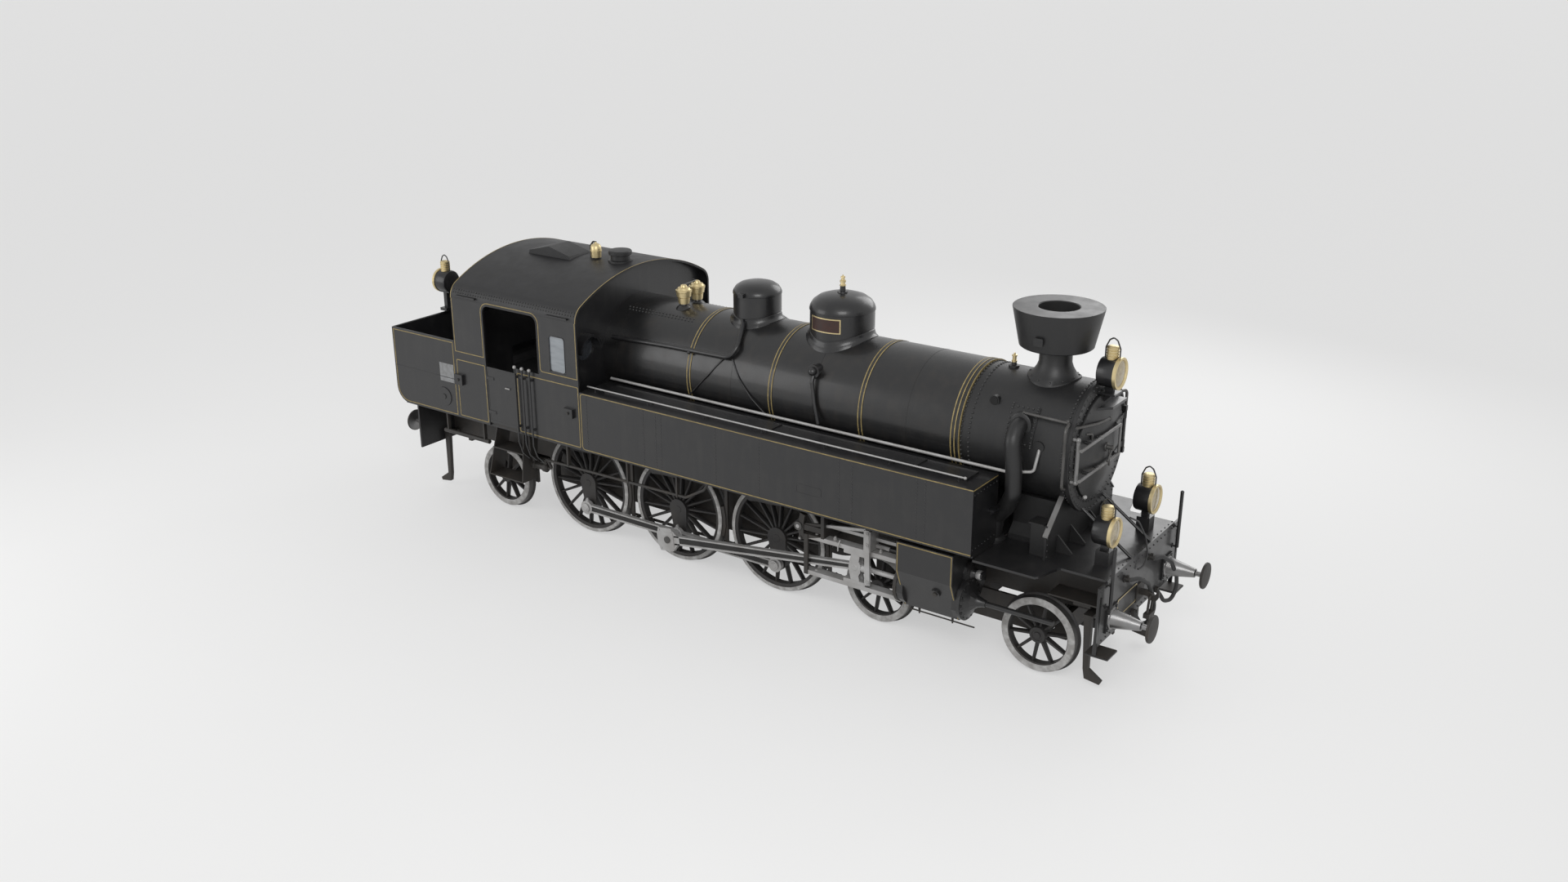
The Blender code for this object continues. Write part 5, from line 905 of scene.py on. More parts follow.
def steamPipe(sideName, side):
    shape = Shape("steamPipe" + sideName.title())
    line = [(x, side * y, z) for x, y, z in (
        (4.440, 0.62, 3.195), (4.440, 0.83, 3.185), (4.450, 0.955, 3.040), (4.490, 0.962, 2.700), (4.490, 0.945, 2.380),
        (4.350, 0.820, 2.120), (4.200, 0.755, 1.950), (4.150, 0.750, 1.645))]
    pipes(shape, [line], pipeLook["steam"], soot, 0.15, 28)
    shape.turned("z", (4.150, side * 0.750, 0), [(1.6303, 0.165), (1.655, 0.165), (1.662, 0.150), (1.690, 0.130)],
                 28, soot)
    inner, outer = smokeLook["radius"] + 0.0003, smokeLook["radius"] + 0.014
    turns = [side * (48 + 3.6 * i) for i in range(11)]  # the riveted pad
    shape.skin([[onShell(x, turn, outer) for turn in turns] + [onShell(x, turn, inner) for turn in reversed(turns)]
                for x in (4.240, 4.620)], soot)
    rivets(shape, [[onShell(x, turn, outer) for turn in turns] for x in (4.265, 4.595)]
           + [[onShell(x, side * turn, outer) for x in (4.265, 4.595)] for turn in (50, 82)], 0.062, 0.0145)
    shape.boss(side, 4.440, 3.195, [(0.660, 0.140), (0.750, 0.140), (0.763, 0.118)], 32, soot)
    shape.done("locomotive", "smokebox_black", "steam_pipe_" + sideName)


steamDome()
sandDome()
safetyValves()
boilerPipes()
for sideName, side in sides:
    steamPipe(sideName, side)
print("boiler fittings ready")


# Lamps

lampLook = {"right": (5.700, -0.626, 2.051), "left": (5.700, 0.626, 2.051), "top": (5.352, 0.0, 3.792),
            "tail": (-6.060, -0.325, 3.365), "drum": 0.190, "length": 0.255, "topDrum": 0.1975, "topLength": 0.260,
            "bail": 0.0095}


def lampBody(shape, drum, length):
    shape.turned("x", (0, 0, 0), [(-length, drum * 0.60), (0.004 - length, drum * 0.86), (0.024 - length, drum * 0.92),
                                  (-0.050, drum * 0.94), (-0.030, drum * 0.94)], 56, black)
    shape.turned("x", (0, 0, 0), [(-0.048, drum * 0.90), (-0.044, drum), (-0.004, drum), (0.0, drum * 0.97),
                                  (0.0, drum * 0.88), (-0.010, drum * 0.82), (-0.020, drum * 0.80)], 56, brass)
    shape.turned("x", (0, 0, 0), [(-0.024, drum * 0.83), (-0.016, drum * 0.80), (-0.008, drum * 0.50),
                                  (-0.005, drum * 0.2), (-0.004, 0.0)], 56, lens)
    z, middle = drum * 0.76, -length * 0.50
    vent = [(z, 0.066)]
    for i in range(5):  # the ribbed brass chimney
        rib = ((0.004, 0.075), (0.024, 0.077), (0.028, 0.070), (0.034, 0.070))
        vent += [(z + 0.034 * i + step, radius) for step, radius in rib]
    shape.turned("z", (middle, 0, 0), vent + [(z + 0.176, 0.060), (z + 0.184, 0.030)], 32, brass)
    bail = [(middle + u, 0.0, height) for u, height in  # it runs fore and aft, clear of the opened smokebox door
            ((-0.092, 0.110), (-0.092, z + 0.150), (-0.050, z + 0.245), (0.0, z + 0.275), (0.050, z + 0.245),
             (0.092, z + 0.150), (0.092, 0.110))]
    pipes(shape, [bail], lampLook["bail"], black, 0.03, 8)


def deckLamp(sideName):
    shape, (x, y, z) = Shape("headlamp" + sideName.title() + "Dressed"), lampLook[sideName]
    lampBody(shape, lampLook["drum"], lampLook["length"])
    shape.block(-0.175, -0.085, -0.030, 0.030, 1.800 - z, -0.14, black, 0.006)
    shape.block(-0.210, -0.040, -0.085, 0.085, 1.6303 - z, 1.810 - z, black, 0.008)
    shape.move(Matrix.Translation((x, y, z)))
    shape.done("locomotive", "black_paint", "headlamp_" + sideName)


def topLamp():
    shape = Shape("headlampTopDressed")
    lampBody(shape, lampLook["topDrum"], lampLook["topLength"])
    shape.block(-0.180, -0.080, -0.030, 0.030, -0.25, -0.14, black, 0.006)
    shape.block(-0.300, -0.020, -0.110, 0.110, -0.262, -0.240, black, 0.006)
    shape.prism("y", [(-0.300, -0.25), (-0.060, -0.25), (-0.230, -0.420), (-0.230, -0.300)], -0.012, 0.012, black)
    shape.move(Matrix.Translation(lampLook["top"]))
    shape.prism("z", [(5.1213, -0.250), (5.300, -0.050), (5.300, 0.370), (5.1213, 0.370)], 3.352, 3.385, black, 0.004)
    shape.done("locomotive", "black_paint", "headlamp_top")


def tailLamp():
    shape, (x, y, z), post = Shape("tailLampDressed"), lampLook["tail"], bodyLook["bunkerBack"] + 0.020
    lampBody(shape, lampLook["drum"], lampLook["length"])
    shape.move(Matrix.Translation((x, y, z)) @ Matrix.Rotation(pi, 4, "Z"))
    for reach, wide, low, high in ((0.035, 0.070, 2.860, z - 0.140), (0.070, 0.130, 2.900, 2.945),
                                   (0.110, 0.090, z - 0.172, z - 0.150)):
        shape.block(post - reach, post + reach, y - wide, y + wide, low, high, black, 0.006)
    shape.done("locomotive", "black_paint", "tail_lamp")


deckLamp("right")
deckLamp("left")
topLamp()
tailLamp()
print("lamps ready")


# Beams, buffers and couplings

bufferLook = {"beam": 5.808, "face": 6.350, "y": 0.874, "z": 1.081}
couplingLook = {"screw": 0.150, "threads": 10, "threadPitch": 0.014, "shackle": 0.016}
hoseLook = {"radius": 0.026, "tube": 0.011, "stops": (-0.513, 0.245)}
ends = ((1, "front"), (-1, "rear"))


def buffer(end, place, sideName, side):
    reach = bufferLook["face"] - bufferLook["beam"]
    shape = Shape("buffer" + place.title() + sideName.title())
    shape.block(0.0003, 0.022, -0.150, 0.150, -0.150, 0.150, black, 0.004)
    for y in (-0.115, 0.115):
        for z in (-0.115, 0.115):
            shape.turned("x", (0, y, z), [(0.020, 0.020), (0.036, 0.020)], 6, black)
    shape.turned("x", (0, 0, 0), [(0.020, 0.140), (0.034, 0.138), (0.045, 0.124), (0.380, 0.060), (0.392, 0.058),
                                  (0.400, 0.044)], 40, bufferSteel if end > 0 else iron)
    head = [(0.060, 0.034), (0.052, 0.050), (0.040, 0.165), (0.034, 0.172), (0.014, 0.172), (0.006, 0.166),
            (0.0015, 0.110), (0.0, 0.060), (0.0, 0.0)]
    shape.turned("x", (0, 0, 0), [(0.390, 0.034)] + [(reach - back, radius) for back, radius in head], 48,
                 [bufferSteel] * 3 + [iron] * 7)
    if end < 0:
        shape.move(Matrix.Rotation(pi, 4, "Z"))
    shape.move(Matrix.Translation((end * bufferLook["beam"], side * bufferLook["y"], bufferLook["z"])))
    shape.done("locomotive", "bright_steel", f"buffer_{place}_{sideName}")


def coupling(end, place):
    shape, screw = Shape("coupling" + place.title() + "Dressed"), couplingLook["screw"]
    shape.block(0.0003, 0.020, -0.12, 0.12, -0.12, 0.12, iron, 0.004)
    hook = [(0.01, -0.035), (0.12, -0.035), (0.145, -0.070), (0.19, -0.085), (0.24, -0.065), (0.262, -0.02),
            (0.260, 0.055), (0.235, 0.050), (0.225, 0.010), (0.195, -0.015), (0.165, 0.005), (0.140, 0.040),
            (0.01, 0.035)]
    shape.prism("y", hook, -0.022, 0.022, iron, 0.005)
    loop = [(screw, 0.060, -0.270), (0.165, 0.060, -0.020), (0.165, -0.060, -0.020), (screw, -0.060, -0.270)]
    pipes(shape, [loop], couplingLook["shackle"], iron, 0.03)
    shape.block(0.110, 0.190, -0.085, 0.085, -0.310, -0.250, iron, 0.010)
    shape.turned("z", (screw, 0, 0), [(-0.500, 0.022), (-0.260, 0.022)], 14, darkSteel)
    for i in range(couplingLook["threads"]):
        z = -couplingLook["threadPitch"] * i
        shape.turned("z", (screw, 0, z), [(-0.335, 0.022), (-0.340, 0.027), (-0.345, 0.022)], 14, darkSteel)
    shape.block(0.110, 0.190, -0.075, 0.075, -0.530, -0.480, iron, 0.010)
    pipes(shape, [[(screw, 0.05, -0.50), (screw, 0.055, -0.40), (screw, 0.10, -0.33)]], 0.010, iron, 0.02, 8)
    if end < 0:
        shape.move(Matrix.Rotation(pi, 4, "Z"))
    shape.move(Matrix.Translation((end * bufferLook["beam"], 0, bufferLook["z"])))
    shape.done("locomotive", "dark_iron", "coupling_" + place)


def hoses():  # air hoses held at both ends, by their cocks above and their dummy couplings below
    shape, x = Shape("frontHoses"), bufferLook["beam"]
    for start in hoseLook["stops"]:
        line = [(x + out, start + along, z) for out, along, z in (
            (0.010, 0, 1.440), (0.060, 0, 1.440), (0.120, 0.16, 1.420), (0.145, 0.42, 1.250), (0.145, 0.66, 0.960),
            (0.135, 0.74, 0.750), (0.120, 0.60, 0.640), (0.090, 0.42, 0.690), (0.070, 0.34, 0.800),
            (0.020, 0.33, 0.860))]
        pipes(shape, [line], hoseLook["radius"], hoseBlack, 0.16, 14)
        shape.turned("x", (x, start, 1.440), [(0.0003, 0.044), (0.012, 0.044), (0.016, 0.030), (0.070, 0.030)],
                     16, iron)
        shape.block(x + 0.020, x + 0.050, start - 0.010, start + 0.010, 1.440, 1.500, iron, 0.004)
        shape.block(x + 0.0003, x + 0.040, start + 0.300, start + 0.360, 0.835, 0.900, iron, 0.005)
    tube = [(x + out, y, z) for out, y, z in (
        (0.010, -0.545, 2.254), (0.030, -0.300, 2.120), (0.050, -0.074, 1.839), (0.060, 0.030, 1.560),
        (0.050, -0.060, 1.440), (0.020, -0.163, 1.440))]
    pipes(shape, [tube], hoseLook["tube"], hoseBlack, 0.20, 10)
    shape.done("locomotive", "dark_iron")


frontLook = {"postY": 1.050, "postOut": 0.060, "post": 0.023, "stayY": 0.30, "stay": 0.020, "beamPitch": 0.122,
             "board": (-0.700, -0.100, 0.985, 1.235)}


def frontEnd():
    shape, x, (y0, y1, z0, z1) = Shape("frontEndFittings"), bufferLook["beam"], frontLook["board"]
    out = x + frontLook["postOut"]
    for side in (-1, 1):
        y, stayY = side * frontLook["postY"], side * frontLook["stayY"]
        pipes(shape, [[(out, y, 1.290), (out, y, 2.045)]], frontLook["post"], black, 0.0, 14)
        shape.ball((out, y, 2.047), 0.025, black)
        for z in (1.300, 1.575):
            shape.turned("x", (x, y, z), [(0.0005, 0.032), (0.010, 0.032), (0.014, 0.018)], 14, black)
        shape.block(x - 0.150, x + 0.140, *span(side, 0.935, 1.205), 0.7075, 0.716, iron, 0.002)
        rivets(shape, [[(x + 0.0142, side * 1.1975, z) for z in (1.370, 1.450)]], 0.07, 0.010, black)
        pipes(shape, [[(x - 0.035, stayY, 1.640), (5.10, stayY, 2.12)]], frontLook["stay"], black, 0.0)
    rivets(shape, [[(x - 0.028, y, 1.6305) for y in (-1.03, 1.03)]], 0.115, 0.010)
    for z in (0.870, 1.560):
        rivets(shape, [[(x + 0.0005, y, z) for y in (-1.22, 1.22)]], frontLook["beamPitch"], 0.0115)
    shape.block(x + 0.0003, x + 0.008, y0, y1, z0, z1, black, 0.002)  # the bare number board and its brass edge
    edge = rounded(y0 + 0.010, y1 - 0.010, z0 + 0.010, z1 - 0.010, 0.025)
    strip(shape, "x", edge, x + 0.0075, 0.012, 0.003, brass, True)
    shape.done("locomotive", "black_paint")


for end, place in ends:
    for sideName, side in sides:
        buffer(end, place, sideName, side)
for end, place in ends:
    coupling(end, place)
hoses()
frontEnd()
print("front end ready")


# Cab, tanks and bunker

def goldLine(shape, side, points, closed=False, face=bodyLook["side"]):  # lining on a side sheet
    sideStrip(shape, side, points, face - 0.001, face + bodyLook["proud"], bodyLook["line"], gold, closed)


roofLook = {"sheet": 0.030, "rivetLines": ((1.4610, 3.6850), (1.4815, 3.6440)), "rivetPitch": 0.052, "hatch": -3.525,
            "lid": [(-0.425, -0.05), (0.425, -0.05), (0.400, 0.020), (0.0, 0.120), (-0.400, 0.020)],
            "ventilator": [(-0.05, 0.185), (0.012, 0.180), (0.020, 0.142), (0.088, 0.140), (0.094, 0.166),
                           (0.100, 0.172), (0.142, 0.172), (0.156, 0.160), (0.162, 0.060)],
            "whistleFoot": [(-0.05, 0.070), (-0.006, 0.066), (-0.004, 0.034), (0.012, 0.032)],
            "whistle": [(0.008, 0.050), (0.012, 0.076), (0.096, 0.080), (0.100, 0.086), (0.118, 0.086), (0.122, 0.080),
                        (0.168, 0.078), (0.196, 0.064), (0.214, 0.036), (0.220, 0.018), (0.236, 0.014)]}


def roofLine(offset, steps=40):  # the roof's section from eave to eave, this far outside its skin
    shoulder, eaves = bodyLook["shoulder"], bodyLook["eaves"]
    across, rise = bodyLook["side"] - shoulder, bodyLook["apex"] - eaves
    crown = (across ** 2 + rise ** 2 - shoulder ** 2) / (2 * (rise - shoulder))
    lean = degrees(atan2(across, crown - rise))
    points = arc(across, eaves, shoulder + offset, 0, 90 - lean, 8)
    points += arc(0, bodyLook["apex"] - crown, crown + offset, 90 - lean, 90 + lean, steps)[1:-1]
    return points + arc(-across, eaves, shoulder + offset, 90 + lean, 180, 8)


def cabRoof():
    shape = Shape("cabRoofDressed")
    front, back, apex = bodyLook["cabFront"], bodyLook["cabBack"], bodyLook["apex"]
    shape.prism("x", roofLine(0) + roofLine(-roofLook["sheet"])[::-1], back, front, roofBlack)
    for x in (front - 0.014, back + 0.001):
        strip(shape, "x", roofLine(0), x, 0.004, bodyLook["line"], gold)
    rivets(shape, [[(back + 0.05, side * y, z), (front - 0.05, side * y, z)]
                   for y, z in roofLook["rivetLines"] for side in (-1, 1)], roofLook["rivetPitch"], 0.0120)
    shape.prism("y", [(roofLook["hatch"] + x, apex + z) for x, z in roofLook["lid"]], -0.420, 0.020, roofBlack, 0.006)
    shape.turned("z", (-2.400, -0.100, apex), roofLook["ventilator"], 40, roofBlack)
    shape.turned("z", (-2.800, -0.180, apex), roofLook["whistleFoot"], 20, roofBlack)
    shape.turned("z", (-2.800, -0.180, apex), roofLook["whistle"], 32, brass)
    pipes(shape, [[(x, -0.180, apex + z) for x, z in ((-2.905, -0.03), (-2.905, 0.170), (-2.850, 0.235),
                                                      (-2.790, 0.235))]], 0.013, roofBlack, 0.03, 10)
    shape.done("locomotive", "black_paint", "cab_roof")


cabLook = {"upperLine": [(-4.522, 3.548), (-4.522, 2.730), (-3.922, 2.730), *arc(-3.772, 3.420, 0.150, 180, 90, 6),
                         *arc(-2.912, 3.420, 0.150, 90, 0, 6), *arc(-2.722, 2.770, 0.040, 180, 270, 4),
                         (-2.052, 2.730), (-2.052, 3.548)],
           "lowerLines": ((-4.510, -3.915, 1.715, 2.600), (-3.245, -2.050, 1.715, 2.612)),
           "openWindow": [(-3.886, 2.690), *arc(-3.772, 3.420, 0.114, 180, 90, 6), *arc(-2.912, 3.420, 0.114, 90, 0, 6),
                          (-2.798, 2.690)],
           "blocks": [(-4.395, -4.000, 1.490, 1.535, 3.594, 3.616, 0.005),  # rain strips over the openings
                      (-2.565, -2.170, 1.490, 1.535, 3.582, 3.604, 0.005),
                      (-4.545, -4.385, 1.4995, 1.545, 2.215, 2.375, 0.012),  # boxes low on the cab side
                      (-2.315, -2.145, 1.4995, 1.545, 2.140, 2.275, 0.012),
                      (-3.896, -3.880, 1.4995, 1.506, 1.690, 2.600, 0.002),  # posts of the doorway
                      (-3.287, -3.271, 1.4995, 1.506, 1.690, 2.600, 0.002),
                      (-3.285, -2.915, 1.4995, 1.512, 2.545, 2.580, 0.003)],
           "rods": (-3.245, -3.098, -2.951), "rodReach": 1.545, "rod": 0.0125,
           "portholes": ((True, -2.212, 1.170, 3.090, 0.186), (False, -4.528, 0.850, 3.360, 0.168))}


def cabTrim(sideName, side):
    shape, reach = Shape("cabTrim" + sideName.title()), side * cabLook["rodReach"]
    goldLine(shape, side, cabLook["upperLine"])
    for x0, x1, z0, z1 in cabLook["lowerLines"]:
        goldLine(shape, side, rounded(x0, x1, z0, z1, 0.015, 2), True)
    shape.prism("y", rounded(-2.576, -2.258, 2.761, 3.309, 0.052), *span(side, 1.482, 1.488), windowGlass)
    for outline, closed in ((rounded(-2.566, -2.268, 2.771, 3.299, 0.046), True), (cabLook["openWindow"], False)):
        sideStrip(shape, side, outline, 1.468, 1.504, 0.010, black, closed)
    for x0, x1, inner, outer, z0, z1, edge in cabLook["blocks"]:
        shape.block(x0, x1, *span(side, inner, outer), z0, z1, black, edge)
    for x, z in ((-4.465, 2.295), (-2.230, 2.2075)):
        shape.boss(side, x, z, [(1.540, 0.024), (1.562, 0.020)], 16, iron)
    for x in cabLook["rods"]:
        line = [(x, reach, 2.690), (x, reach, 1.560), (x + 0.02, side * 1.500, 1.380), (x + 0.02, side * 1.380, 1.260)]
        pipes(shape, [line], cabLook["rod"], black, 0.06)
        shape.ball((x, reach, 2.715), 0.027, steel)
        for z in (2.56, 1.80):
            shape.boss(side, x, z, [(1.4995, 0.022), (1.510, 0.022), (1.545, 0.009)], 12, black)
    for hooded, x, y, z, radius in cabLook["portholes"]:
        y = side * y
        # The porthole glass carries painted shade for the dark cab behind it.
        shape.turned("x", (x, y, z), [(-0.003, radius), (0.003, radius)], 40, portholeGlassPaintedShade)
        strip(shape, "x", [(y + u, z + v) for u, v in circle(radius - 0.006, 40)], x - 0.010, 0.020, 0.024, black, True)
        if hooded:  # the rain hood over the front porthole
            hood = arc(y, z, radius + 0.034, -4, 184, 20) + arc(y, z, radius + 0.022, 184, -4, 20)
            shape.prism("x", hood, x - 0.002, x + 0.170, black)
    shape.done("locomotive", "black_paint")


def cabDoor(sideName, side):
    low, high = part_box("cab_door_" + sideName)
    shape = Shape("cabDoorHandle" + sideName.title())
    face = high.y if side > 0 else -low.y
    blocks = [(-3.515, -3.395, -0.001, 0.004, 2.318, 2.350, black, 0.001),
              (-3.500, -3.410, 0.003, 0.016, 2.326, 2.342, steel, 0.004)]
    blocks += [(low.x + 0.004, low.x + 0.150, -0.001, 0.007, z - 0.022, z + 0.022, black, 0.002)
               for z in (1.900, 2.430)]  # hinge straps
    for x0, x1, inner, outer, z0, z1, finish, edge in blocks:
        shape.block(x0, x1, *span(side, face + inner, face + outer), z0, z1, finish, edge)
    panel = rounded(low.x + 0.030, high.x - 0.030, low.z + 0.045, high.z - 0.030, 0.015, 2)
    sideStrip(shape, side, panel, face - 0.002, face + 0.0015, 0.006, black, True)
    shape.done("cab_door_" + sideName, "black_paint")


tankLook = {"columns": (-1.900, -0.853, -0.634, -0.540, 0.398, 1.111, 2.357, 2.552, 3.482, 3.600), "pitch": 0.046,
            "railY": 1.350, "railZ": 2.605, "rail": 0.0115, "posts": 7, "postStart": -1.85, "postPitch": 0.97,
            "post": [(2.5495, 0.018), (2.556, 0.018), (2.562, 0.009), (2.600, 0.009)],
            "covers": ((0.550, 1.150), (2.750, 3.350))}


def tankTrim(sideName, side):
    shape, front, top = Shape("tankTrim" + sideName.title()), bodyLook["tankFront"], bodyLook["tankTop"]
    railY, railZ = side * tankLook["railY"], tankLook["railZ"]
    goldLine(shape, side, [(front - 0.004, top - 0.014), *arc(-1.960, top - 0.064, 0.050, 90, 180, 4),
                           *arc(-1.960, 1.750, 0.050, 180, 270, 4), (front - 0.004, 1.700)])
    strip(shape, "x", [(y, top - 0.014) for y in span(side, 0.880, 1.498)], front - 0.001, bodyLook["line"], 0.0025,
          gold)
    rivets(shape, [[(x, side * 1.4995, z) for z in (1.745, 2.500)] for x in tankLook["columns"]],
           tankLook["pitch"], 0.0095)
    rivets(shape, [[(front - 0.0005, side * y, z) for y in (0.905, 1.465)] for z in (1.76, 2.47)], 0.08, 0.0090, black)
    sideStrip(shape, side, rounded(1.710, 2.090, 1.925, 2.045, 0.030), 1.499, 1.5022, 0.010, black, True)
    pipes(shape, [[(x, railY, railZ) for x in (-2.000, 4.040)]], tankLook["rail"], steel, 0.0, 10)
    shape.ball((4.052, railY, railZ), 0.021, steel)
    for i in range(tankLook["posts"]):
        x = tankLook["postStart"] + tankLook["postPitch"] * i
        shape.turned("z", (x, railY, 0), tankLook["post"], 10, black)
    for x0, x1 in tankLook["covers"]:  # inspection covers in the lid
        shape.block(x0, x1, *span(side, 1.020, 1.280), 2.579, 2.594, black, 0.004)
        rivets(shape, [[(x0 + 0.03, side * y, 2.594), (x1 - 0.03, side * y, 2.594)] for y in (1.045, 1.255)],
               0.09, 0.007, black)
    shape.block(front - 0.0005, front + 0.075, *span(side, 0.930, 1.090), 2.130, 2.160, black, 0.005)
    shape.prism("y", [(front, 2.140), (front + 0.070, 2.140), (front, 2.060)], *span(side, 1.000, 1.020), black, 0.002)
    shape.done("locomotive", "black_paint")


bunkerLook = {"front": -4.580, "top": 2.877, "foot": 1.7083, "corner": 0.218, "waist": (2.2660, 2.2740),
              "cover": (-4.844, 1.950), "rail": 0.0135, "rim": 0.0165, "columns": (-1.43, -0.50, 0.50, 1.43)}


def bunkerTrim():
    shape, back, front = Shape("bunkerTrim"), bodyLook["bunkerBack"], bunkerLook["front"]
    top, foot, corner, waist = bunkerLook["top"], bunkerLook["foot"], bunkerLook["corner"], bunkerLook["waist"]
    for side in (-1, 1):
        goldLine(shape, side, [(front, top - 0.030), (back + 0.032, top - 0.030),
                               *arc(back + 0.032 + corner, foot + corner, corner, 180, 270, 6), (front, foot)], True)
        shape.block(back + 0.010, -4.550, *span(side, 1.4995, 1.5025), *waist, black)
        shape.block(-4.905, -4.600, *span(side, 1.4995, 1.5025), 2.200, 2.490, pale, 0.001)
        shape.boss(side, *bunkerLook["cover"], [(1.4995, 0.150), (1.512, 0.146)], 40, black)
        shape.boss(side, *bunkerLook["cover"], [(1.510, 0.045), (1.524, 0.040)], 20, black)
        rail = [(back - out, side * 1.300, z) for out, z in ((0, 2.060), (0.060, 2.080), (0.060, 2.760), (0, 2.780))]
        pipes(shape, [rail], bunkerLook["rail"], black, 0.03)
    rim = [(x, y, top - 0.010) for x, y in ((-4.552, -1.488), (back + 0.012, -1.488), (back + 0.012, 1.488),
                                            (-4.552, 1.488))]
    pipes(shape, [rim], bunkerLook["rim"], black, 0.02)
    strip(shape, "x", rounded(-1.455, 1.455, 1.980, top - 0.032, 0.020, 2), back - 0.0015, bodyLook["line"], 0.0025,
          gold, True)
    rivets(shape, [[(back - 0.0005, y, z) for z in (2.02, 2.80)] for y in bunkerLook["columns"]], 0.065, 0.0065, black)
    shape.block(back - 0.0035, back + 0.001, -1.49, 1.49, *waist, black)
    shape.done("locomotive", "black_paint")


controlLook = {"back": -2.7504, "gauges": (-0.14, 0.12, 0.36), "glasses": (-0.32, 0.32),
               "reverser": (-2.90, -0.98, 2.36), "reverserWheel": 0.19}


def cabInside():
    shape, x, (wheelX, wheelY, wheelZ) = Shape("cabControls"), controlLook["back"], controlLook["reverser"]
    shape.turned("x", (x, 0, boilerLook["height"]), [(-0.012, 0.700), (0.0005, 0.720)], 56, soot)
    shape.turned("x", (x, 0, 2.130), [(-0.050, 0.150), (-0.045, 0.165), (-0.005, 0.170), (0.0, 0.150)], 32, iron)
    shape.block(x - 0.075, x - 0.040, -0.200, 0.200, 2.115, 2.145, iron, 0.006)
    for y in controlLook["glasses"]:  # water gauges
        shape.turned("z", (x - 0.075, y, 0), [(2.62, 0.014), (2.92, 0.014)], 12, windowGlass)
        for end in (2.60, 2.93):
            shape.turned("x", (x, y, end), [(-0.10, 0.020), (0.0, 0.030)], 14, brass)
            shape.ball((x - 0.075, y, end), 0.026, brass, 10)
    shape.turned("x", (x, 0, 3.080), [(-0.060, 0.030), (0.0, 0.060)], 20, brass)
    pipes(shape, [[(x - 0.060, 0.0, 3.080), (x - 0.085, -0.30, 2.860)]], 0.014, steel, 0.0)
    shape.ball((x - 0.085, -0.315, 2.848), 0.026, darkSteel, 10)
    for y in controlLook["gauges"]:  # pressure gauges
        shape.turned("x", (x - 0.030, y, 3.330), [(-0.050, 0.062), (-0.046, 0.070), (0.025, 0.070)], 28, brass)
        shape.turned("x", (x - 0.030, y, 3.330), [(-0.052, 0.0), (-0.051, 0.058), (-0.040, 0.060)], 28, pale)
    pipes(shape, [[(x, 0.0, 3.20), (x - 0.03, 0.0, 3.24), (x - 0.03, 0.36, 3.26)]]
          + [[(x - 0.02, y, 3.25), (x - 0.02, y, 1.75)] for y in (-0.52, 0.52)], 0.012, brass, 0.03)
    for side in (-1, 1):  # folding seats on the side sheets
        shape.block(-4.180, -3.960, *span(side, 1.080, 1.465), 2.180, 2.220, iron, 0.012)
    wheel = [(wheelX, wheelY + u, wheelZ + v) for u, v in circle(controlLook["reverserWheel"], 32)]
    pipes(shape, [wheel + wheel[:1]], 0.013, steel, 0.0, 10)
    pipes(shape, [[(wheelX, wheelY - u, wheelZ - v), (wheelX, wheelY + u, wheelZ + v)]
                  for u, v in circle(controlLook["reverserWheel"], 6)[:3]], 0.010, steel, 0.0, 8)
    shape.turned("x", (wheelX, wheelY, wheelZ), [(-0.03, 0.034), (0.30, 0.028)], 16, iron)
    shape.block(-2.69, -2.60, -1.06, -0.90, 1.712, 2.40, iron, 0.012)
    shape.done("locomotive", "dark_iron")


cabRoof()
bunkerTrim()
cabInside()
for sideName, side in sides:
    cabTrim(sideName, side)
    cabDoor(sideName, side)
    tankTrim(sideName, side)
print("cab, tanks and bunker ready")


# Cylinders, valve gear and what hangs below the platform

gearLook = {"rear": 3.188, "front": 3.988, "y": 1.090, "z": 0.900, "valveY": 1.020, "valveZ": 1.230, "casing": 1.450,
            "cover": [(-0.030, 0.262), (-0.020, 0.235), (0.030, 0.150), (0.060, 0.100), (0.105, 0.072), (0.150, 0.055),
                      (0.205, 0.044)],
            "valveCover": [(0.0, 0.1535), (0.018, 0.1535), (0.024, 0.140), (0.040, 0.080), (0.062, 0.062),
                           (0.120, 0.052), (0.183, 0.048)],
            "sheath": [(0.0, 0.056), (0.012, 0.062), (0.050, 0.062), (0.062, 0.056)],
            "outerPins": ((2.603, 1.455, 0.030), (2.603, 1.290, 0.036), (2.618, 0.760, 0.032)),
            "linkPins": ((1.487, 1.262, 0.060), (1.520, 1.095, 0.026))}


def bolts(shape, x, y, z, radius, count, head, depth):  # hexagon nuts on a circle, facing along X
    for u, v in circle(radius, count):
        shape.turned("x", (x, y + u, z + v), [(0.0, head), (depth, head)], 6, black)


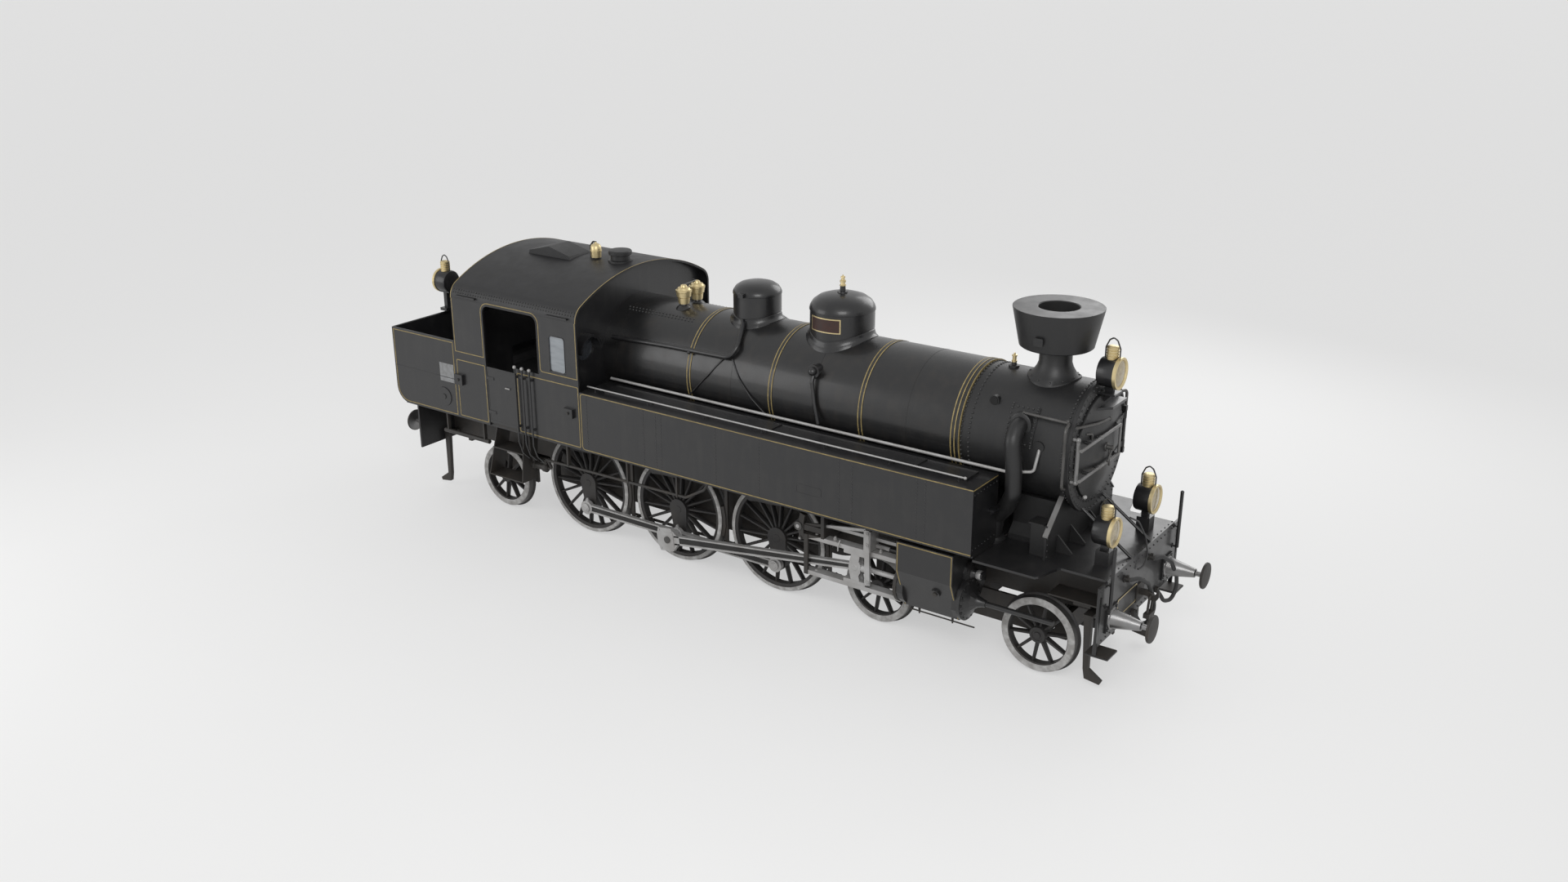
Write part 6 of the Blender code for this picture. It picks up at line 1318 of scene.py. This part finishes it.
def cylinderTrim(sideName, side):
    shape = Shape("cylinderTrim" + sideName.title())
    rear, front = gearLook["rear"], gearLook["front"]
    skin = [(side * y, z) for y, z in ((1.450, 1.585), (1.450, 1.200), (1.210, 0.640), (0.800, 0.600))]
    for x in (rear + 0.012, front - 0.026):
        strip(shape, "x", skin, x, 0.004, bodyLook["line"], gold)
    goldLine(shape, side, [(rear + 0.018, 1.580), (front - 0.018, 1.580)], face=gearLook["casing"])
    centre, run = Vector((3.730, side * 1.368, 1.010)), Vector((0, side * 0.919, -0.394))
    pipes(shape, [[centre - run * 0.01, centre + run * 0.030]], 0.062, black, 0.0, 24)  # plug on the sloping side
    pipes(shape, [[centre + run * 0.028, centre + run * 0.044]], 0.034, iron, 0.0, 6)
    y, z = side * gearLook["y"], gearLook["z"]
    for sign, face, nuts, finish in ((1, front + 0.060, front + 0.060, black), (-1, rear - 0.090, rear - 0.106, iron)):
        shape.turned("x", (face, y, z), [(-sign * 0.045, 0.2745), (sign * 0.0008, 0.2745), (sign * 0.004, 0.266)],
                     56, finish)
        bolts(shape, nuts, y, z, 0.240, 14, 0.017, 0.018)
    shape.turned("x", (front + 0.090, y, z), gearLook["cover"], 48, black)
    bolts(shape, front + 0.105, y, z, 0.120, 8, 0.012, 0.020)
    valveY, valveZ = side * gearLook["valveY"], gearLook["valveZ"]
    shape.turned("x", (front + 0.020, valveY, valveZ), gearLook["valveCover"], 36, black)
    shape.turned("x", (front + 0.120, valveY, valveZ), gearLook["sheath"], 24, steel)
    bolts(shape, front + 0.036, valveY, valveZ, 0.122, 8, 0.012, 0.016)
    shape.turned("x", (rear - 0.030, valveY, valveZ), [(-0.020, 0.060), (-0.012, 0.070), (-0.001, 0.074)], 24, steel)
    for x in (rear + 0.16, front - 0.16):  # drain cocks below
        shape.turned("z", (x, y, 0), [(0.500, 0.010), (0.560, 0.016), (0.630, 0.020)], 10, iron)
    pipes(shape, [[(rear + 0.02, y, 0.530), (front + 0.15, y, 0.530)]], 0.010, iron, 0.0, 8)
    shape.done("locomotive", "black_paint")


def gearTrim(sideName, side):
    shape, reach, z = Shape("gearTrim" + sideName.title()), gearLook["y"], gearLook["z"]
    y = side * reach
    for x in (1.76, 3.02):
        for level in (0.230, -0.290):
            shape.turned("z", (x, y, z + level), [(-0.014, 0.022), (0.074, 0.022)], 6, steel)
    for x in (2.05, 2.75):  # oil cups on the upper bar
        shape.turned("z", (x, y, z), [(0.289, 0.026), (0.318, 0.026), (0.322, 0.018), (0.336, 0.014)], 14, steel)
    for x, height, radius in gearLook["outerPins"]:
        shape.boss(side, x, height, [(reach + 0.082, radius), (reach + 0.126, radius)], 20, steel)
        shape.boss(side, x, height, [(reach + 0.125, radius * 0.55), (reach + 0.136, radius * 0.5)], 14, steel)
    for x, height, radius in gearLook["linkPins"]:
        shape.boss(side, x, height, [(reach - 0.045, radius), (reach + 0.055, radius)], 24, darkSteel)
        shape.boss(side, x, height, [(reach + 0.053, radius * 0.5), (reach + 0.064, radius * 0.45)], 14, steel)
    shape.block(1.866, 1.914, *span(side, 0.60, 1.162), 1.18, 1.58, iron)
    tube = [(2.150, side * (reach + out), height) for out, height in ((0.04, 1.220), (0.09, 1.160), (0.09, 1.085))]
    pipes(shape, [tube], 0.009, steel, 0.02, 8)
    shape.done("locomotive", "bright_steel")


underLook = {"pipeY": 1.350, "hangers": (-4.98, -4.18, -2.45, -1.30, -0.40), "injectorY": 1.250, "injectorZ": 1.105,
             "injector": [(-3.330, 0.030), (-3.300, 0.060), (-3.240, 0.062), (-3.232, 0.045), (-3.060, 0.050),
                          (-3.052, 0.066), (-2.995, 0.066), (-2.975, 0.035)]}


def underGear():
    shape = Shape("underPipework")
    for side in (-1, 1):
        y, injectorY, injectorZ = side * underLook["pipeY"], side * underLook["injectorY"], underLook["injectorZ"]
        pipes(shape, [[(-5.065, y, 1.320), (-4.089, y, 1.320)]], 0.034, iron, 0.0, 16)
        pipes(shape, [[(-2.910, y, 1.288), (-0.250, y, 1.325), (0.070, y, 1.510), (0.160, y, 1.650)]],
              0.020, iron, 0.08)
        for x in underLook["hangers"]:
            shape.block(x - 0.014, x + 0.014, *span(side, 1.320, 1.375), 1.300, 1.6455, iron, 0.003)
        shape.turned("x", (0, injectorY, injectorZ), underLook["injector"], 24, iron)
        for x in (-3.27, -3.02):
            shape.turned("z", (x, injectorY, 0), [(1.105, 0.030), (1.210, 0.030), (1.216, 0.044), (1.240, 0.044)],
                         14, iron)
        pipes(shape, [[(-2.99, injectorY, injectorZ), (-2.88, side * 1.270, 1.130), (-2.88, y, 1.290)],
                      [(-3.27, injectorY, 1.220), (-3.22, side * 1.360, 1.300), (-3.20, side * 1.390, 1.640)]],
              0.021, iron, 0.06)
        low, high = span(side, 0.430, 0.860)  # tread over the leading wheel
        shape.block(4.990, 5.740, low, high, 1.140, 1.160, iron, 0.004)
        shape.block(5.30, 5.52, low + 0.06, high - 0.06, 1.075, 1.140, iron, 0.006)
        for z in (0.715, 0.930):  # stops behind the front beam
            shape.block(5.735, 5.755, *span(side, 0.55, 0.60), z, z + 0.20, iron, 0.003)
    shape.done("locomotive", "dark_iron")


for sideName, side in sides:
    cylinderTrim(sideName, side)
    gearTrim(sideName, side)
underGear()
print("motion dressed")


# Floor, light and camera

stageLook = {"floor": (0.36, 0.36, 0.357), "cloud": (0.345, 0.345, 0.342), "glow": 0.50, "sky": 0.55, "backdrop": 0.745,
             "reach": 320.0}
lights = (("keyLight", (9.0, -12.0, 11.0), (0, 0, 1.8), 7.0, 900.0),
          ("fillLight", (-10.0, -11.0, 6.0), (-1, 0, 1.5), 8.0, 420.0),
          ("rimLight", (2.0, 12.0, 9.0), (0, 0, 2.4), 8.0, 520.0))
cameraLook = {"place": (11.494, -15.576, 9.013), "yaw": 125.330, "pitch": 20.445, "roll": -0.060, "lens": 33.112,
              "sensor": 36.0, "sight": 900.0}


def seenDirectly(tree):  # 1 where the camera, a reflection or the glass shows this surface
    rays = grow(tree, "ShaderNodeLightPath").outputs
    seen = rays["Is Camera Ray"]
    for ray in ("Is Glossy Ray", "Is Transmission Ray"):
        seen = grow(tree, "ShaderNodeMath", {0: seen, 1: rays[ray]}, operation="MAXIMUM").outputs[0]
    return seen


def floorFinish():
    finish = Finish("studioFloor", Emission_Strength=1.0)
    tone = finish.noise(0.6, 2.0)
    finish.paint("Base Color", finish.blend(tone.clamped(), stageLook["cloud"], stageLook["floor"]))
    finish.paint("Roughness", tone * 0.1 + 0.75)
    finish.paint("Emission Color", finish.blend(seenDirectly(finish.tree), (0.0, 0.0, 0.0), (stageLook["glow"],) * 3))
    return finish.material


def studio():
    floor, reach = Shape("floor"), stageLook["reach"]
    floor.block(-reach, reach, -reach, reach, -0.20, -0.0005, floorFinish())
    floor.piece()
    scene.world = bpy.data.worlds.new("studio")
    scene.world.use_nodes = True
    tree = scene.world.node_tree
    level = grow(tree, "ShaderNodeMapRange", {0: seenDirectly(tree), 3: stageLook["sky"], 4: stageLook["backdrop"]})
    back = tree.nodes["Background"]
    back.inputs[0].default_value = (1.0, 1.0, 1.0, 1)
    tree.links.new(level.outputs[0], back.inputs[1])
    for name, place, aim, size, power in lights:
        light = bpy.data.lights.new(name, "AREA")
        light.size, light.energy = size, power
        lamp = bpy.data.objects.new(name, light)
        lamp.location = place
        lamp.rotation_euler = (Vector(aim) - Vector(place)).to_track_quat("-Z", "Y").to_euler()
        scene.collection.objects.link(lamp)


def camera():  # solved from the photograph's rails, wheels and buffers
    data = bpy.data.cameras.new("camera")
    data.sensor_width, data.lens, data.clip_end = cameraLook["sensor"], cameraLook["lens"], cameraLook["sight"]
    view = bpy.data.objects.new("camera", data)
    pose = Matrix.Translation(cameraLook["place"])
    for angle, axis in ((cameraLook["yaw"] - 90, "Z"), (90 - cameraLook["pitch"], "X"), (cameraLook["roll"], "Z")):
        pose = pose @ Matrix.Rotation(radians(angle), 4, axis)
    view.matrix_world = pose
    scene.collection.objects.link(view)
    scene.camera = view


studio()
camera()
scene.view_settings.view_transform = "Standard"
print("studio ready")
